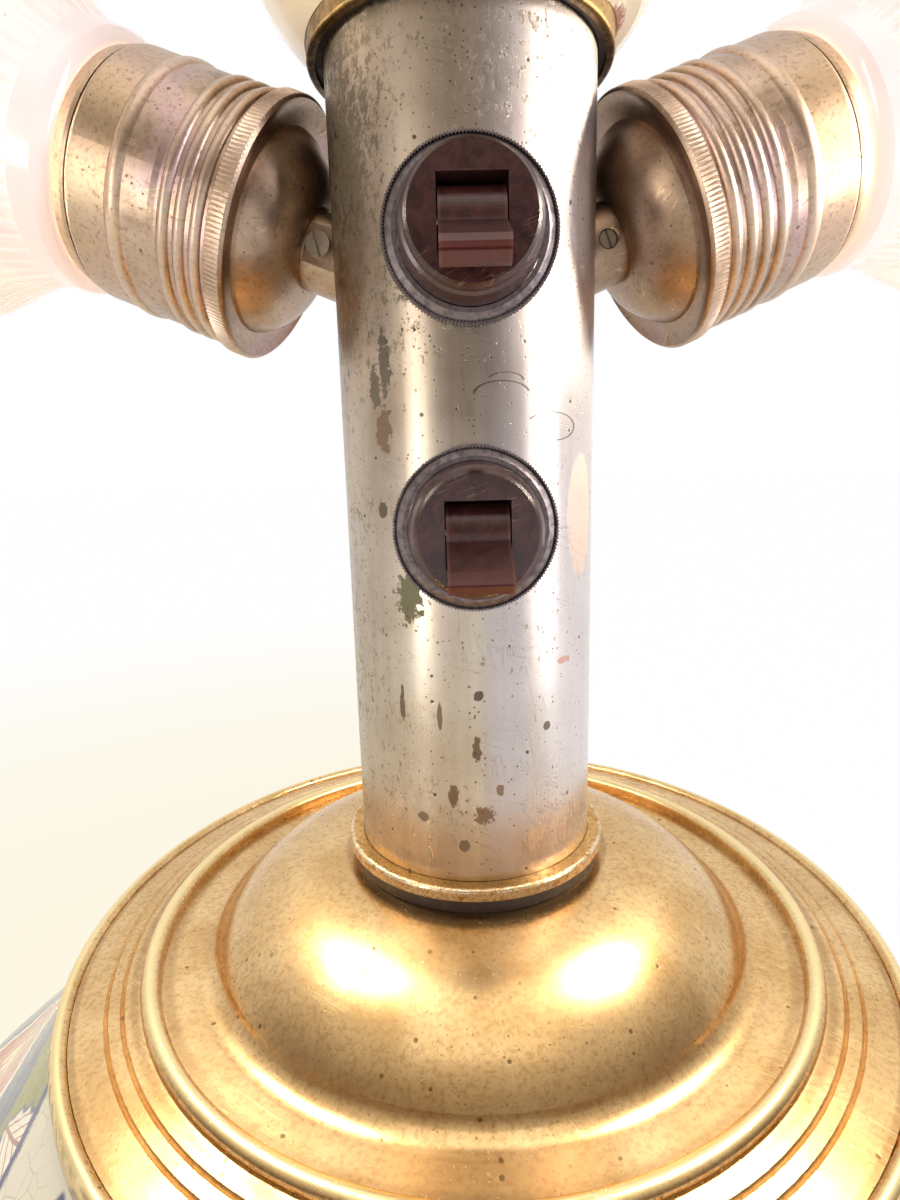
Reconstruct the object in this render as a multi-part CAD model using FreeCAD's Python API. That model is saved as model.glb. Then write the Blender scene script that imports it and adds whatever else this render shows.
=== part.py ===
import FreeCAD, Part
import math
import os

# Table lamp: a painted earthenware vase with a spun brass cap, a nickel-plated tube
# with two lever switches, and two side lamp-holders that carry ribbed tulip shades.
# Millimetres, +Z up, origin on the table in the middle of the foot.

V = FreeCAD.Vector
UP = V(0, 0, 1)

# ---------------------------------------------------------------- driving dimensions
FLAT_GAP = 0.05          # between flat faces that lie on each other
ROUND_GAP = 0.10         # radial gap of a round piece in its hole
RUN_GAP = 0.05           # radial gap of the switch lever on its pin
PIN_FIT = 0.02           # radial gap of the pin in its housing

# foot and vase
FELT_T = 1.5
VASE_H = 242.0
VASE_WALL = 7.0
VASE_MAX_R = 140.0
VASE_BELLY_FORM = ((0.60, 34.0), (0.80, 70.0), (0.945, 108.0))   # share of widest r, height up
VASE_SHOULDER_FORM = ((1.0, 88.0), (0.989, 70.0), (0.938, 54.0),
                      (0.814, 40.0), (0.70, 24.0))               # share of widest r, depth down
VASE_LIP_W = 7.5         # how far the shoulder stands out past the land, a little below it
VASE_LIP_DROP = 9.0
VASE_MOUTH_DEPTH = 16.0
FOOT_R = 78.0
FOOT_RING_W = 13.0
FOOT_WAIST = 6.0         # how far the body draws in above the foot ring
FOOT_RECESS = 15.0
FOOT_FLOOR = 8.0
CORD_BORE_R = 3.3
BUSH_WALL = 1.3
BUSH_FLANGE_R = 6.2
BUSH_FLANGE_T = 1.6
BUSH_STANDOFF = 0.4      # flange's clearance from the round foot

# centre rod and its fasteners
ROD_R = 5.0
ROD_BORE_R = 3.6
ROD_TAIL = 2.0           # rod's end below the nut
NUT_AF = 17.0
NUT_H = 5.0
WASHER_R = 22.0
WASHER_T = 2.0

# column
COLUMN_R = 22.5
COLUMN_WALL = 1.2
COLUMN_VISIBLE = 134.8
RING_OVERLAP = 2.7       # how far the ferrule rings stand out past the tube
RING_T = 2.1
RING_ROUND = 0.6
GASKET_T = 2.9
GASKET_STEP = 1.0        # how far the gasket stays back from the ring's edge
TOP_RING_H = 4.5
TOP_RECESS = 3.0
TOP_GASKET_STEP = 0.6    # gasket's lower face above the ring's
COLLAR_T = 6.0
COLLAR_HOLE_R = 4.0

# spun brass cap, from the seat under the column out to the rim
CAP_RISE = 20.5
CAP_T = 1.1
CAP_SEAT_MARGIN = 0.8    # seat's edge past the ferrule ring
CAP_DOME_W = 28.4
CAP_DOME_H = 23.3
CAP_DOME_CUT = 0.88      # share of the quarter ellipse that is kept before the cove
CAP_COVE_W = 9.0         # dome's full width to the bead
CAP_BEAD_W = 3.4
CAP_BEAD_DROP = 13.9     # bead's centre below the seat
CAP_BEAD_STEP = 0.9      # cove's floor below the bead's centre
CAP_BAND_W = 15.8        # bead's centre to the rim's edge
CAP_BAND_SLOPE = 0.18
CAP_GROOVES = (4.6, 7.2)
CAP_GROOVE_W = 0.4
CAP_ROLL = 2.8
CAP_RIM_OVERHANG = 1.2   # rim's edge past the vase's land
CAP_MOUTH_OVERLAP = 3.4  # vase's mouth inside the bead

# earthenware ball on top
BALL_R = 34.0
BALL_HALF_H = 25.0
BALL_CENTRE_UP = 19.4    # centre above the top ring's lower face
BALL_SEAT_W = 1.3        # ball's bore inside the tube's
BALL_ROOF = 7.0
BALL_CROWN_W = 4.5       # flat crown round the rod
CHIP_DEPTH = 1.3

# finial on the rod's upper end
FINIAL_R = 8.5
FINIAL_FOOT_R = 6.4
FINIAL_H = 17.0
FINIAL_WASHER_R = 8.8

# switches, heights above the lower ring's upper face
SWITCH_UP = (103.7, 61.2)
SWITCH_NECK_R = 10.4
SWITCH_NUT_W = 2.2
SWITCH_NUT_T = 2.6
SWITCH_PROUD = 9.5       # front face past the tube
SWITCH_FACE_STEP = 1.45  # face's radius inside the neck's
SWITCH_LEDGE = 2.3       # ledge behind the face
SWITCH_REAR_GAP = 2.5    # housing's back to the rod
SWITCH_BLOCK_STEP = 0.5  # rear block's radius inside the neck's
SWITCH_FLANGE_W = 1.6
SWITCH_FLANGE_T = 2.4
FLANGE_GAP = 0.3         # flange's edge to the inside of the tube
SLOT_W = 9.6
SLOT_H = 9.8
SLOT_DEPTH = 11.0
PIVOT_BACK = 4.5         # pivot behind the front face
PIN_R = 0.75
PIN_GRIP = 1.4           # pin's length in each wall of the slot
LEVER_SIDE_GAP = 0.2
LEVER_REACH = 12.6
LEVER_TILT = 32.0        # lever below the level when switched on
LEVER_HUB_R = 2.3
LEVER_TAIL = 4.2
LEVER_TAIL_T = 1.6
BLADE_T = 0.4
BLADE_UPTURN = 1.6
TERMINAL_SPACING = 10.0
TERMINAL_R = 1.9
TERMINAL_HEAD = 1.2
TERMINAL_SHANK_R = 0.85
TERMINAL_SHANK = 4.6

# side arms and lamp-holders; distances t run along the arm from the column's axis
ARM_UP = 98.0            # where the arm axis meets the column axis, above the lower ring
ARM_TILT = 22.8
ARM_BACK = 8.5           # degrees to the rear of sideways
NIPPLE_R = 4.9
NIPPLE_BORE_R = 3.4
NIPPLE_INSIDE = 7.7      # nipple's reach inside the tube
NIPPLE_PAST = 1.6        # nipple's reach past the nozzle
ARM_NUT_AF = 14.0
ARM_NUT_T = 3.0
ARM_NUT_BACK = 2.1       # nut's face from the tube's inside, on the arm's axis
NOZZLE_R = 7.0
NOZZLE_OUT = 6.1         # nozzle's end past the tube
NOZZLE_ROOT = 4.5        # blank's length inside the tube before its saddle is cut
NOZZLE_RIVET_R = 6.2
RIVET_LIP = 0.9
RIVET_LIP_T = 0.7
NOZZLE_FLAT = 6.2        # milled flat under the screw head, from the arm's axis
SET_SCREW_R = 1.5
SET_SCREW_HEAD_R = 2.1
SET_SCREW_HEAD_H = 1.3
SET_SCREW_FROM_END = 2.6
SET_SCREW_SUNK = 0.7
HOLDER_WALL = 1.0
DOME_DEPTH = 6.6
DOME_FORM = ((0.32, 0.09), (0.62, 0.33), (0.85, 0.67))     # shares of the dome's width and depth
DOME_STEP_IN = 4.9       # dome's edge inside the knurled rim
FLANGE_HOLLOW = 0.7
RIM_BACK = 0.2           # knurled rim starts this far before the dome's edge
KNURL_R = 21.9
KNURL_LEN = 3.4
SHELL_GAP = 0.5
SHELL_SPIGOT = 1.6
SHELL_WALL = 0.8
BARREL_STEP = 1.15       # barrel's surface inside the knurled rim's
RIDGE_PITCH = 2.8
RIDGE_H = 0.65
RIDGES = {"left": 3, "right": 4}
BARREL_PLAIN = 4.5       # last ridge to the bead's middle
SHELL_BEAD_W = 2.8
SHELL_BEAD_H = 0.5
SHELL_MOUTH = 8.8        # bead's middle to the lip
LIP_ROUND = 1.1
SHADE_RING_LEN = 2.6
SHADE_RING_STEP = 0.45   # ring's edge inside the barrel's
SHADE_RING_SPIGOT = 3.2
INSERT_STEP = 2.15       # porcelain inside the barrel's surface
INSERT_WALL_STEP = 1.4
INSERT_BASE_T = 5.4
INSERT_LEN = 19.85
INSERT_SCREW_AT = 9.0
INSERT_SCREW_R = 1.7
INSERT_EYELET_R = 2.2
SLEEVE_ROOM = 1.7        # thread's room between the bulb's cap and the sleeve
SLEEVE_WALL = 0.7
CONTACT_T = 0.5

# tulip shade
NECK_STEP = 1.6          # glass neck inside the barrel's surface
NECK_SEAT_GAP = 0.3
SHADE_WALL = 3.0
COLLAR_CLEAR = 0.8       # collar's start past the shade ring
COLLAR_W = 2.45          # collar's surface past the neck's
COLLAR_LEN = 4.6
SHADE_BELLY_R = 42.0
SHADE_BELLY_AT = 41.2    # from the collar's start
SHADE_MOUTH_R = 54.0
SHADE_LEN = 76.2         # from the collar's start to the rim
PETALS = 8
PETAL_R = 31.0
RIBS = 48
RIB_DEPTH = 0.6
RIB_SHOULDER = 0.5       # how far the ribs start below the collar's surface
RIB_STATIONS = 10

# lamp bulb
BULB_R = 22.5
BULB_CENTRE_AT = 25.5    # from the end of its cap
BULB_WALL = 0.9
BULB_CAP_R = 13.1
BULB_CAP_LEN = 18.1
BULB_TIP_GAP = 2.05      # tip to the porcelain base
BULB_CAP_GRIP = 2.0      # glass inside the cap
BULB_NECK_R = 12.6

# ---------------------------------------------------------------- radii that follow
RING_R = COLUMN_R + RING_OVERLAP
TUBE_IN_R = COLUMN_R - COLUMN_WALL
CAP_SEAT_R = RING_R + CAP_SEAT_MARGIN
CAP_BEAD_R = CAP_SEAT_R + CAP_DOME_W + CAP_COVE_W
CAP_RIM_R = CAP_BEAD_R + CAP_BAND_W
VASE_LAND_R = CAP_RIM_R - CAP_RIM_OVERHANG
VASE_MOUTH_R = CAP_BEAD_R - CAP_MOUTH_OVERLAP
BALL_BORE_R = TUBE_IN_R - BALL_SEAT_W
SWITCH_NUT_R = SWITCH_NECK_R + SWITCH_NUT_W
SWITCH_FACE_R = SWITCH_NECK_R - SWITCH_FACE_STEP
SWITCH_BLOCK_R = SWITCH_NECK_R - SWITCH_BLOCK_STEP
SWITCH_FLANGE_R = SWITCH_NECK_R + SWITCH_FLANGE_W
DOME_STEP_R = KNURL_R - DOME_STEP_IN
BARREL_R = KNURL_R - BARREL_STEP
RIM_IN_R = KNURL_R - HOLDER_WALL
SHADE_RING_R = BARREL_R - SHADE_RING_STEP
INSERT_R = BARREL_R - INSERT_STEP
INSERT_WALL_R = INSERT_R - INSERT_WALL_STEP
NECK_R = BARREL_R - NECK_STEP
COLLAR_R = NECK_R + COLLAR_W
SLEEVE_R = BULB_CAP_R + SLEEVE_ROOM

# ---------------------------------------------------------------- heights that follow
VASE_TOP = FELT_T + VASE_H
FOOT_CEILING = FELT_T + FOOT_RECESS
CORD_HOLE_Z = FELT_T + 0.5 * FOOT_RECESS
ROD_LOW_Z = FOOT_CEILING - WASHER_T - NUT_H - ROD_TAIL
SEAT_Z = VASE_TOP + CAP_RISE                      # flat top of the cap
CAP_FLOOR_Z = SEAT_Z - CAP_BEAD_DROP - CAP_BEAD_STEP
RING_LOW_Z = SEAT_Z + GASKET_T
DATUM_Z = RING_LOW_Z + RING_T                     # upper face of the lower ring
TOP_RING_Z = DATUM_Z + COLUMN_VISIBLE
TUBE_TOP_Z = TOP_RING_Z + TOP_RING_H
BALL_Z = TOP_RING_Z + BALL_CENTRE_UP
BALL_TOP_Z = BALL_Z + BALL_HALF_H
ROD_TOP_Z = BALL_TOP_Z + WASHER_T + FINIAL_H * 0.55
ARM_Z = DATUM_Z + ARM_UP

# ---------------------------------------------------------------- depths from the column's axis
SWITCH_FACE = COLUMN_R + SWITCH_PROUD
SWITCH_BACK = ROD_R + SWITCH_REAR_GAP
SLOT_FLOOR = SWITCH_FACE - SLOT_DEPTH
PIVOT_OUT = SWITCH_FACE - PIVOT_BACK
PIN_LEN = SLOT_W + 2 * PIN_GRIP
NIPPLE_START = TUBE_IN_R - NIPPLE_INSIDE
ARM_NUT_FACE = TUBE_IN_R - ARM_NUT_BACK
NOZZLE_END = COLUMN_R + NOZZLE_OUT
SET_SCREW_AT = NOZZLE_END - SET_SCREW_FROM_END
DOME_STEP_T = NOZZLE_END + DOME_DEPTH
CAP_FLANGE_T = DOME_STEP_T + FLANGE_HOLLOW        # hollow face round the dome's foot
KNURL_T = DOME_STEP_T - RIM_BACK
SHELL_START = KNURL_T + KNURL_LEN + SHELL_GAP
SHELL_BEAD_T = SHELL_START + max(RIDGES.values()) * RIDGE_PITCH + BARREL_PLAIN
SHELL_LIP_T = SHELL_BEAD_T + SHELL_MOUTH
INSERT_START = CAP_FLANGE_T + HOLDER_WALL + FLAT_GAP
INSERT_END = INSERT_START + INSERT_LEN
COLLAR_START = SHELL_LIP_T + SHADE_RING_LEN + COLLAR_CLEAR
SHADE_BELLY_T = COLLAR_START + SHADE_BELLY_AT
SHADE_MOUTH_T = COLLAR_START + SHADE_LEN
BULB_CAP_START = INSERT_START + INSERT_BASE_T + BULB_TIP_GAP
BULB_CAP_END = BULB_CAP_START + BULB_CAP_LEN
BULB_CENTRE_T = BULB_CAP_END + BULB_CENTRE_AT


# ---------------------------------------------------------------- helpers
def polyline(points):
    """Wire through (r, z) points in the XZ plane, closed back to the first."""
    corners = [V(r, 0, z) for r, z in points]
    return Part.makePolygon(corners + corners[:1])


def revolve(edges_or_wire):
    """Solid of revolution about Z from a closed outline in the XZ plane."""
    wire = edges_or_wire
    if isinstance(edges_or_wire, list):
        wire = Part.Wire(edges_or_wire)
    solid = Part.Face(wire).revolve(V(0, 0, 0), UP, 360)
    if solid.Volume < 0:
        solid.reverse()
    return solid


def line(a, b):
    return Part.LineSegment(V(a[0], 0, a[1]), V(b[0], 0, b[1])).toShape()


def arc(a, middle, b):
    return Part.Arc(V(a[0], 0, a[1]), V(middle[0], 0, middle[1]), V(b[0], 0, b[1])).toShape()


def curve(points):
    spline = Part.BSplineCurve()
    spline.interpolate([V(r, 0, z) for r, z in points])
    return spline.toShape()


def disc(radius, low, high, bore=0.0):
    """Round plate or tube between two heights."""
    solid = Part.makeCylinder(radius, high - low, V(0, 0, low))
    if bore:
        solid = solid.cut(Part.makeCylinder(bore, high - low + 2, V(0, 0, low - 1)))
    return solid


def hexagon(across_flats, low, high, bore):
    """Hexagon nut with a plain bore."""
    corner_r = across_flats / 2 / math.cos(math.pi / 6)
    corners = [V(corner_r * math.cos(math.radians(60 * k)),
                 corner_r * math.sin(math.radians(60 * k)), low) for k in range(7)]
    solid = Part.Face(Part.makePolygon(corners)).extrude(V(0, 0, high - low))
    return solid.cut(Part.makeCylinder(bore, high - low + 2, V(0, 0, low - 1)))


def inset(points, wall):
    """Points moved to the left of their direction of travel by the wall."""
    moved = []
    last = len(points) - 1
    for k in range(len(points)):
        before = points[max(k - 1, 0)]
        after = points[min(k + 1, last)]
        dr = after[0] - before[0]
        dz = after[1] - before[1]
        length = math.hypot(dr, dz)
        moved.append((points[k][0] - dz / length * wall, points[k][1] + dr / length * wall))
    return moved


def frame_of(x_axis, y_axis, z_axis, origin):
    """Placement whose axes are the three given unit vectors."""
    matrix = FreeCAD.Matrix(x_axis.x, y_axis.x, z_axis.x, origin.x,
                            x_axis.y, y_axis.y, z_axis.y, origin.y,
                            x_axis.z, y_axis.z, z_axis.z, origin.z,
                            0, 0, 0, 1)
    return FreeCAD.Placement(matrix)


def arm_frame(side):
    """Local Z runs out along the arm, local X faces the front."""
    tilt = math.radians(ARM_TILT)
    back = math.radians(ARM_BACK)
    sign = 1 if side == "right" else -1
    out = V(sign * math.cos(back) * math.cos(tilt), math.sin(back) * math.cos(tilt), math.sin(tilt))
    front = V(sign * math.sin(back), -math.cos(back), 0)
    return frame_of(front, out.cross(front), out, V(0, 0, ARM_Z))


def switch_frame(height):
    """Local Z runs out of the column to the front, local Y points up."""
    return frame_of(V(1, 0, 0), V(0, 0, 1), V(0, -1, 0), V(0, 0, DATUM_Z + height))


def placed(shape, placement):
    copy = shape.copy()
    copy.Placement = placement.multiply(copy.Placement)
    return copy


def save(name, shape):
    shape.exportStep("parts/" + name + ".step")


# ---------------------------------------------------------------- foot and vase
def felt_pad():
    return disc(FOOT_R - 1.0, 0, FELT_T - FLAT_GAP)


def vase_outline():
    """Outer outline of the vase from its foot to the land at its mouth."""
    foot = [(FOOT_R - FOOT_WAIST, FOOT_CEILING - 1.0)]
    belly = [(VASE_MAX_R * share, FELT_T + up) for share, up in VASE_BELLY_FORM]
    shoulder = [(VASE_MAX_R * share, VASE_TOP - down) for share, down in VASE_SHOULDER_FORM]
    lip = [(VASE_LAND_R + VASE_LIP_W, VASE_TOP - VASE_LIP_DROP), (VASE_LAND_R, VASE_TOP)]
    return foot + belly + shoulder + lip


def vase_body():
    """Hollow thrown body on a turned foot ring, drilled for the rod and the cord."""
    outer = vase_outline()
    inner = inset(outer[1:-1], VASE_WALL)
    floor_z = FOOT_CEILING + FOOT_FLOOR
    ring_in = FOOT_R - FOOT_RING_W
    foot_low = (FOOT_R - 1.0, FELT_T)
    foot_bulge = (FOOT_R, FELT_T + 4.5)
    foot_waist = (FOOT_R - 4.0, FELT_T + 10.5)
    inner_start = (inner[0][0], max(inner[0][1], floor_z + 4.0))
    cavity = [inner_start] + inner[1:]
    mouth_low = (VASE_MOUTH_R, VASE_TOP - VASE_MOUTH_DEPTH)
    edges = [
        arc(foot_low, foot_bulge, foot_waist),
        line(foot_waist, outer[0]),
        curve(outer),
        line(outer[-1], (VASE_MOUTH_R, VASE_TOP)),
        line((VASE_MOUTH_R, VASE_TOP), mouth_low),
        line(mouth_low, cavity[-1]),
        curve(cavity[::-1]),
        line(cavity[0], (cavity[0][0] - 8.0, floor_z)),
        line((cavity[0][0] - 8.0, floor_z), (ROD_R + 1.0, floor_z)),
        line((ROD_R + 1.0, floor_z), (ROD_R + 1.0, FOOT_CEILING)),
        line((ROD_R + 1.0, FOOT_CEILING), (ring_in, FOOT_CEILING)),
        line((ring_in, FOOT_CEILING), (ring_in, FELT_T)),
        line((ring_in, FELT_T), foot_low),
    ]
    body = revolve(edges)
    hole_r = CORD_BORE_R + BUSH_WALL + ROUND_GAP
    hole = Part.makeCylinder(hole_r, FOOT_R, V(0, 0.5 * FOOT_R, CORD_HOLE_Z), V(0, 1, 0))
    return body.cut(hole)


def cord_bush():
    """Turned bush in the foot ring's rear, where a lead goes in."""
    start = FOOT_R - FOOT_RING_W + 0.5
    seat = FOOT_R + BUSH_STANDOFF
    barrel = Part.makeCylinder(CORD_BORE_R + BUSH_WALL, seat - start,
                               V(0, start, CORD_HOLE_Z), V(0, 1, 0))
    flange = Part.makeCylinder(BUSH_FLANGE_R, BUSH_FLANGE_T, V(0, seat, CORD_HOLE_Z), V(0, 1, 0))
    bore = Part.makeCylinder(CORD_BORE_R, FOOT_R, V(0, 0.5 * FOOT_R, CORD_HOLE_Z), V(0, 1, 0))
    return barrel.fuse(flange).removeSplitter().cut(bore)


def foot_washer():
    return disc(WASHER_R, FOOT_CEILING - WASHER_T, FOOT_CEILING - FLAT_GAP, ROD_R + ROUND_GAP)


def foot_nut():
    top = FOOT_CEILING - WASHER_T - FLAT_GAP
    return hexagon(NUT_AF, top - NUT_H, top, ROD_R + ROUND_GAP)


def centre_rod():
    return disc(ROD_R, ROD_LOW_Z, ROD_TOP_Z, ROD_BORE_R)


# ---------------------------------------------------------------- spun brass cap
def dome_drop(r):
    """How far the dome lies below the seat at a radius: a quarter of an ellipse."""
    return CAP_DOME_H * (1 - math.sqrt(1 - ((r - CAP_SEAT_R) / CAP_DOME_W) ** 2))


def cap_side():
    """Outer surface of the cap from the seat's edge to the rim's underside."""
    seat = SEAT_Z
    dome_end = CAP_SEAT_R + CAP_DOME_CUT * CAP_DOME_W
    dome = []
    for k in range(9):
        r = CAP_SEAT_R + (dome_end - CAP_SEAT_R) * math.sin(math.pi / 2 * k / 8)
        dome.append((r, seat - dome_drop(r)))
    cove_z = CAP_FLOOR_Z
    cove_h = dome[-1][1] - cove_z
    cove = [dome[-1], (dome_end + 0.55 * cove_h, cove_z + 0.33 * cove_h),
            (dome_end + 1.85 * cove_h, cove_z)]
    bead_r = CAP_BEAD_W / 2
    bead_z = seat - CAP_BEAD_DROP
    bead_in = (CAP_BEAD_R - bead_r, cove_z)
    bead_out = (CAP_BEAD_R + bead_r, bead_z - 0.4)
    edges = [curve(dome), arc(*cove), line(cove[-1], bead_in), line(bead_in, (bead_in[0], bead_z)),
             arc((bead_in[0], bead_z), (CAP_BEAD_R, bead_z + bead_r), (bead_out[0], bead_z)),
             line((bead_out[0], bead_z), bead_out)]
    here = bead_out
    for groove in CAP_GROOVES:
        for step, depth in ((-CAP_GROOVE_W, 0.0), (0.0, CAP_GROOVE_W), (CAP_GROOVE_W, 0.0)):
            r = CAP_BEAD_R + groove + step
            point = (r, bead_out[1] - CAP_BAND_SLOPE * (r - bead_out[0]) - depth)
            edges.append(line(here, point))
            here = point
    roll_r = CAP_ROLL / 2
    roll_in = CAP_RIM_R - CAP_ROLL
    band_end = (roll_in, bead_out[1] - CAP_BAND_SLOPE * (roll_in - bead_out[0]))
    roll_z = band_end[1] - 0.5
    edges.append(line(here, band_end))
    edges.append(line(band_end, (roll_in, roll_z)))
    edges.append(arc((roll_in, roll_z), (roll_in + roll_r, roll_z + roll_r), (CAP_RIM_R, roll_z)))
    edges.append(line((CAP_RIM_R, roll_z), (CAP_RIM_R, VASE_TOP + FLAT_GAP)))
    return edges


def vase_cap():
    """Spun cap: seat, dome, cove, bead, band with two grooves, and rolled rim."""
    seat = SEAT_Z
    low = VASE_TOP + FLAT_GAP
    bore = ROD_R + ROUND_GAP
    rim_in = CAP_RIM_R - CAP_ROLL - 0.2
    flat_z = CAP_FLOOR_Z - CAP_T
    inner = [(CAP_SEAT_R, seat - CAP_T)]
    for share in (0.18, 0.39, 0.58, 0.74, 0.85):
        r = CAP_SEAT_R + share * CAP_DOME_W
        fall = CAP_T * math.hypot(1.0, 0.9 * share)
        inner.append((r - 0.02 * (r - CAP_SEAT_R), seat - dome_drop(r) - fall))
    inner.append((CAP_SEAT_R + CAP_DOME_W + 0.1, flat_z))
    edges = [line((bore, seat), (CAP_SEAT_R, seat))] + cap_side()
    chain = [(CAP_RIM_R, low), (rim_in, low), (rim_in, flat_z - 1.0), (CAP_BEAD_R + 2.0, flat_z),
             inner[-1]]
    for a, b in zip(chain, chain[1:]):
        edges.append(line(a, b))
    edges.append(curve(inner[::-1]))
    edges.append(line(inner[0], (bore, seat - CAP_T)))
    edges.append(line((bore, seat - CAP_T), (bore, seat)))
    return revolve(edges)


# ---------------------------------------------------------------- column
def column_gasket():
    return disc(RING_R - GASKET_STEP, SEAT_Z + FLAT_GAP, RING_LOW_Z - FLAT_GAP, COLUMN_R + ROUND_GAP)


def column_lower_ring():
    """Turned ferrule ring round the tube's foot, its upper edge rounded."""
    ring = disc(RING_R, RING_LOW_Z, DATUM_Z, COLUMN_R + ROUND_GAP)
    rounded = [e for e in ring.Edges if abs(e.BoundBox.ZMin - DATUM_Z) < 1e-6
               and abs(e.BoundBox.XMax - RING_R) < 1e-6 and e.BoundBox.ZLength < 1e-6]
    return ring.makeFillet(RING_ROUND, rounded)


def column_tube():
    """Nickel-plated tube, drilled for the switches and for the side arms."""
    tube = disc(COLUMN_R, SEAT_Z + FLAT_GAP, TUBE_TOP_Z, TUBE_IN_R)
    for height in SWITCH_UP:
        drill = disc(SWITCH_NECK_R + ROUND_GAP, 0, 2 * COLUMN_R)
        tube = tube.cut(placed(drill, switch_frame(height)))
    for side in ("left", "right"):
        drill = disc(NIPPLE_R + ROUND_GAP, 0, 2 * COLUMN_R)
        tube = tube.cut(placed(drill, arm_frame(side)))
    return tube


def column_collar(low, high):
    """Turned collar that centres the tube on the rod."""
    collar = disc(TUBE_IN_R - ROUND_GAP, low, high, ROD_R + ROUND_GAP)
    circle_r = 0.5 * (ROD_R + TUBE_IN_R)
    for angle in (60, 120, 240, 300):
        x = circle_r * math.cos(math.radians(angle))
        y = circle_r * math.sin(math.radians(angle))
        collar = collar.cut(Part.makeCylinder(COLLAR_HOLE_R, COLLAR_T + 2, V(x, y, low - 1)))
    return collar


def column_upper_ring():
    """Ferrule ring under the ball; its lower side is recessed for the dark gasket."""
    ring = disc(RING_R, TOP_RING_Z, TUBE_TOP_Z, COLUMN_R + ROUND_GAP)
    recess_r = COLUMN_R + 0.5 * RING_OVERLAP
    ring = ring.cut(Part.makeCylinder(recess_r, TOP_RECESS, V(0, 0, TOP_RING_Z)))
    rounded = [e for e in ring.Edges if abs(e.BoundBox.ZMin - TOP_RING_Z) < 1e-6
               and abs(e.BoundBox.XMax - RING_R) < 1e-6 and e.BoundBox.ZLength < 1e-6]
    return ring.makeFillet(RING_ROUND, rounded)


def column_upper_gasket():
    recess_r = COLUMN_R + 0.5 * RING_OVERLAP
    return disc(recess_r - ROUND_GAP, TOP_RING_Z + TOP_GASKET_STEP, TOP_RING_Z + TOP_RECESS - FLAT_GAP,
                COLUMN_R + ROUND_GAP)


# ---------------------------------------------------------------- ball and finial
def chip_cutter():
    """Rough cutter that takes the broken place out of the ball's lower right side."""
    corners = [(14.0, -30.0, -20.5), (15.5, -17.0, -21.5), (21.0, -4.0, -20.0), (29.0, 1.0, -15.5),
               (36.0, -5.0, -9.0), (36.5, -14.0, -4.0), (33.0, -27.0, -2.0)]
    depth = 1.0 - CHIP_DEPTH / BALL_R
    near = [V(x * depth, y * depth, BALL_Z + z * depth) for x, y, z in corners]
    far = [V(x * 1.3, y * 1.3, BALL_Z + z * 1.3) for x, y, z in corners]
    centre_near = V(25.6, -13.2, BALL_Z - 13.6)
    centre_far = V(38.0, -19.0, BALL_Z - 20.0)
    faces = []
    count = len(corners)
    for k in range(count):
        a, b = near[k], near[(k + 1) % count]
        c, d = far[(k + 1) % count], far[k]
        faces.append(Part.Face(Part.makePolygon([a, b, centre_near, a])))
        faces.append(Part.Face(Part.makePolygon([d, centre_far, c, d])))
        faces.append(Part.Face(Part.makePolygon([a, c, b, a])))
        faces.append(Part.Face(Part.makePolygon([a, d, c, a])))
    solid = Part.makeSolid(Part.makeShell(faces))
    if solid.Volume < 0:
        solid.reverse()
    return solid


def ball_crown_z():
    """Height of the flat crown round the rod."""
    crown_r = ROD_R + BALL_CROWN_W
    return BALL_Z + BALL_HALF_H * math.sqrt(1 - (crown_r / BALL_R) ** 2)


def top_ball():
    """Glazed earthenware ball, hollow from below, seated on the upper ring."""
    seat = TUBE_TOP_Z + FLAT_GAP
    cut_r = RING_R + ROUND_GAP
    low_z = BALL_Z - BALL_HALF_H * math.sqrt(1 - (cut_r / BALL_R) ** 2)
    crown_z = ball_crown_z()
    steps = 9
    start = math.asin((low_z - BALL_Z) / BALL_HALF_H)
    end = math.asin((crown_z - BALL_Z) / BALL_HALF_H)
    side = []
    for k in range(steps):
        angle = start + (end - start) * k / (steps - 1)
        side.append((BALL_R * math.cos(angle), BALL_Z + BALL_HALF_H * math.sin(angle)))
    roof = BALL_TOP_Z - BALL_ROOF
    bore = ROD_R + ROUND_GAP
    edges = [curve(side)]
    chain = [side[-1], (bore, side[-1][1]), (bore, roof), (BALL_BORE_R, roof),
             (BALL_BORE_R, seat), (cut_r, seat), side[0]]
    for a, b in zip(chain, chain[1:]):
        edges.append(line(a, b))
    return revolve(edges).cut(chip_cutter())


def finial_washer():
    low = ball_crown_z() + FLAT_GAP
    return disc(FINIAL_WASHER_R, low, low + WASHER_T, ROD_R + ROUND_GAP)


def finial():
    """Turned acorn nut on the rod's upper end."""
    low = ball_crown_z() + WASHER_T + 2 * FLAT_GAP
    bore = ROD_R + ROUND_GAP
    bore_top = ROD_TOP_Z + 1.0
    foot_top = low + 0.14 * FINIAL_H
    foot_mid = (FINIAL_FOOT_R + 0.6, 0.5 * (low + foot_top))
    edges = [
        line((bore, low), (FINIAL_FOOT_R, low)),
        arc((FINIAL_FOOT_R, low), foot_mid, (FINIAL_FOOT_R, foot_top)),
        curve([(FINIAL_FOOT_R, foot_top), (FINIAL_R, low + 0.38 * FINIAL_H),
               (FINIAL_R * 0.86, low + 0.62 * FINIAL_H), (FINIAL_R * 0.4, low + 0.88 * FINIAL_H),
               (0.0, low + FINIAL_H)]),
        line((0.0, low + FINIAL_H), (0.0, bore_top)),
        line((0.0, bore_top), (bore, bore_top)),
        line((bore, bore_top), (bore, low)),
    ]
    return revolve(edges)


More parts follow.
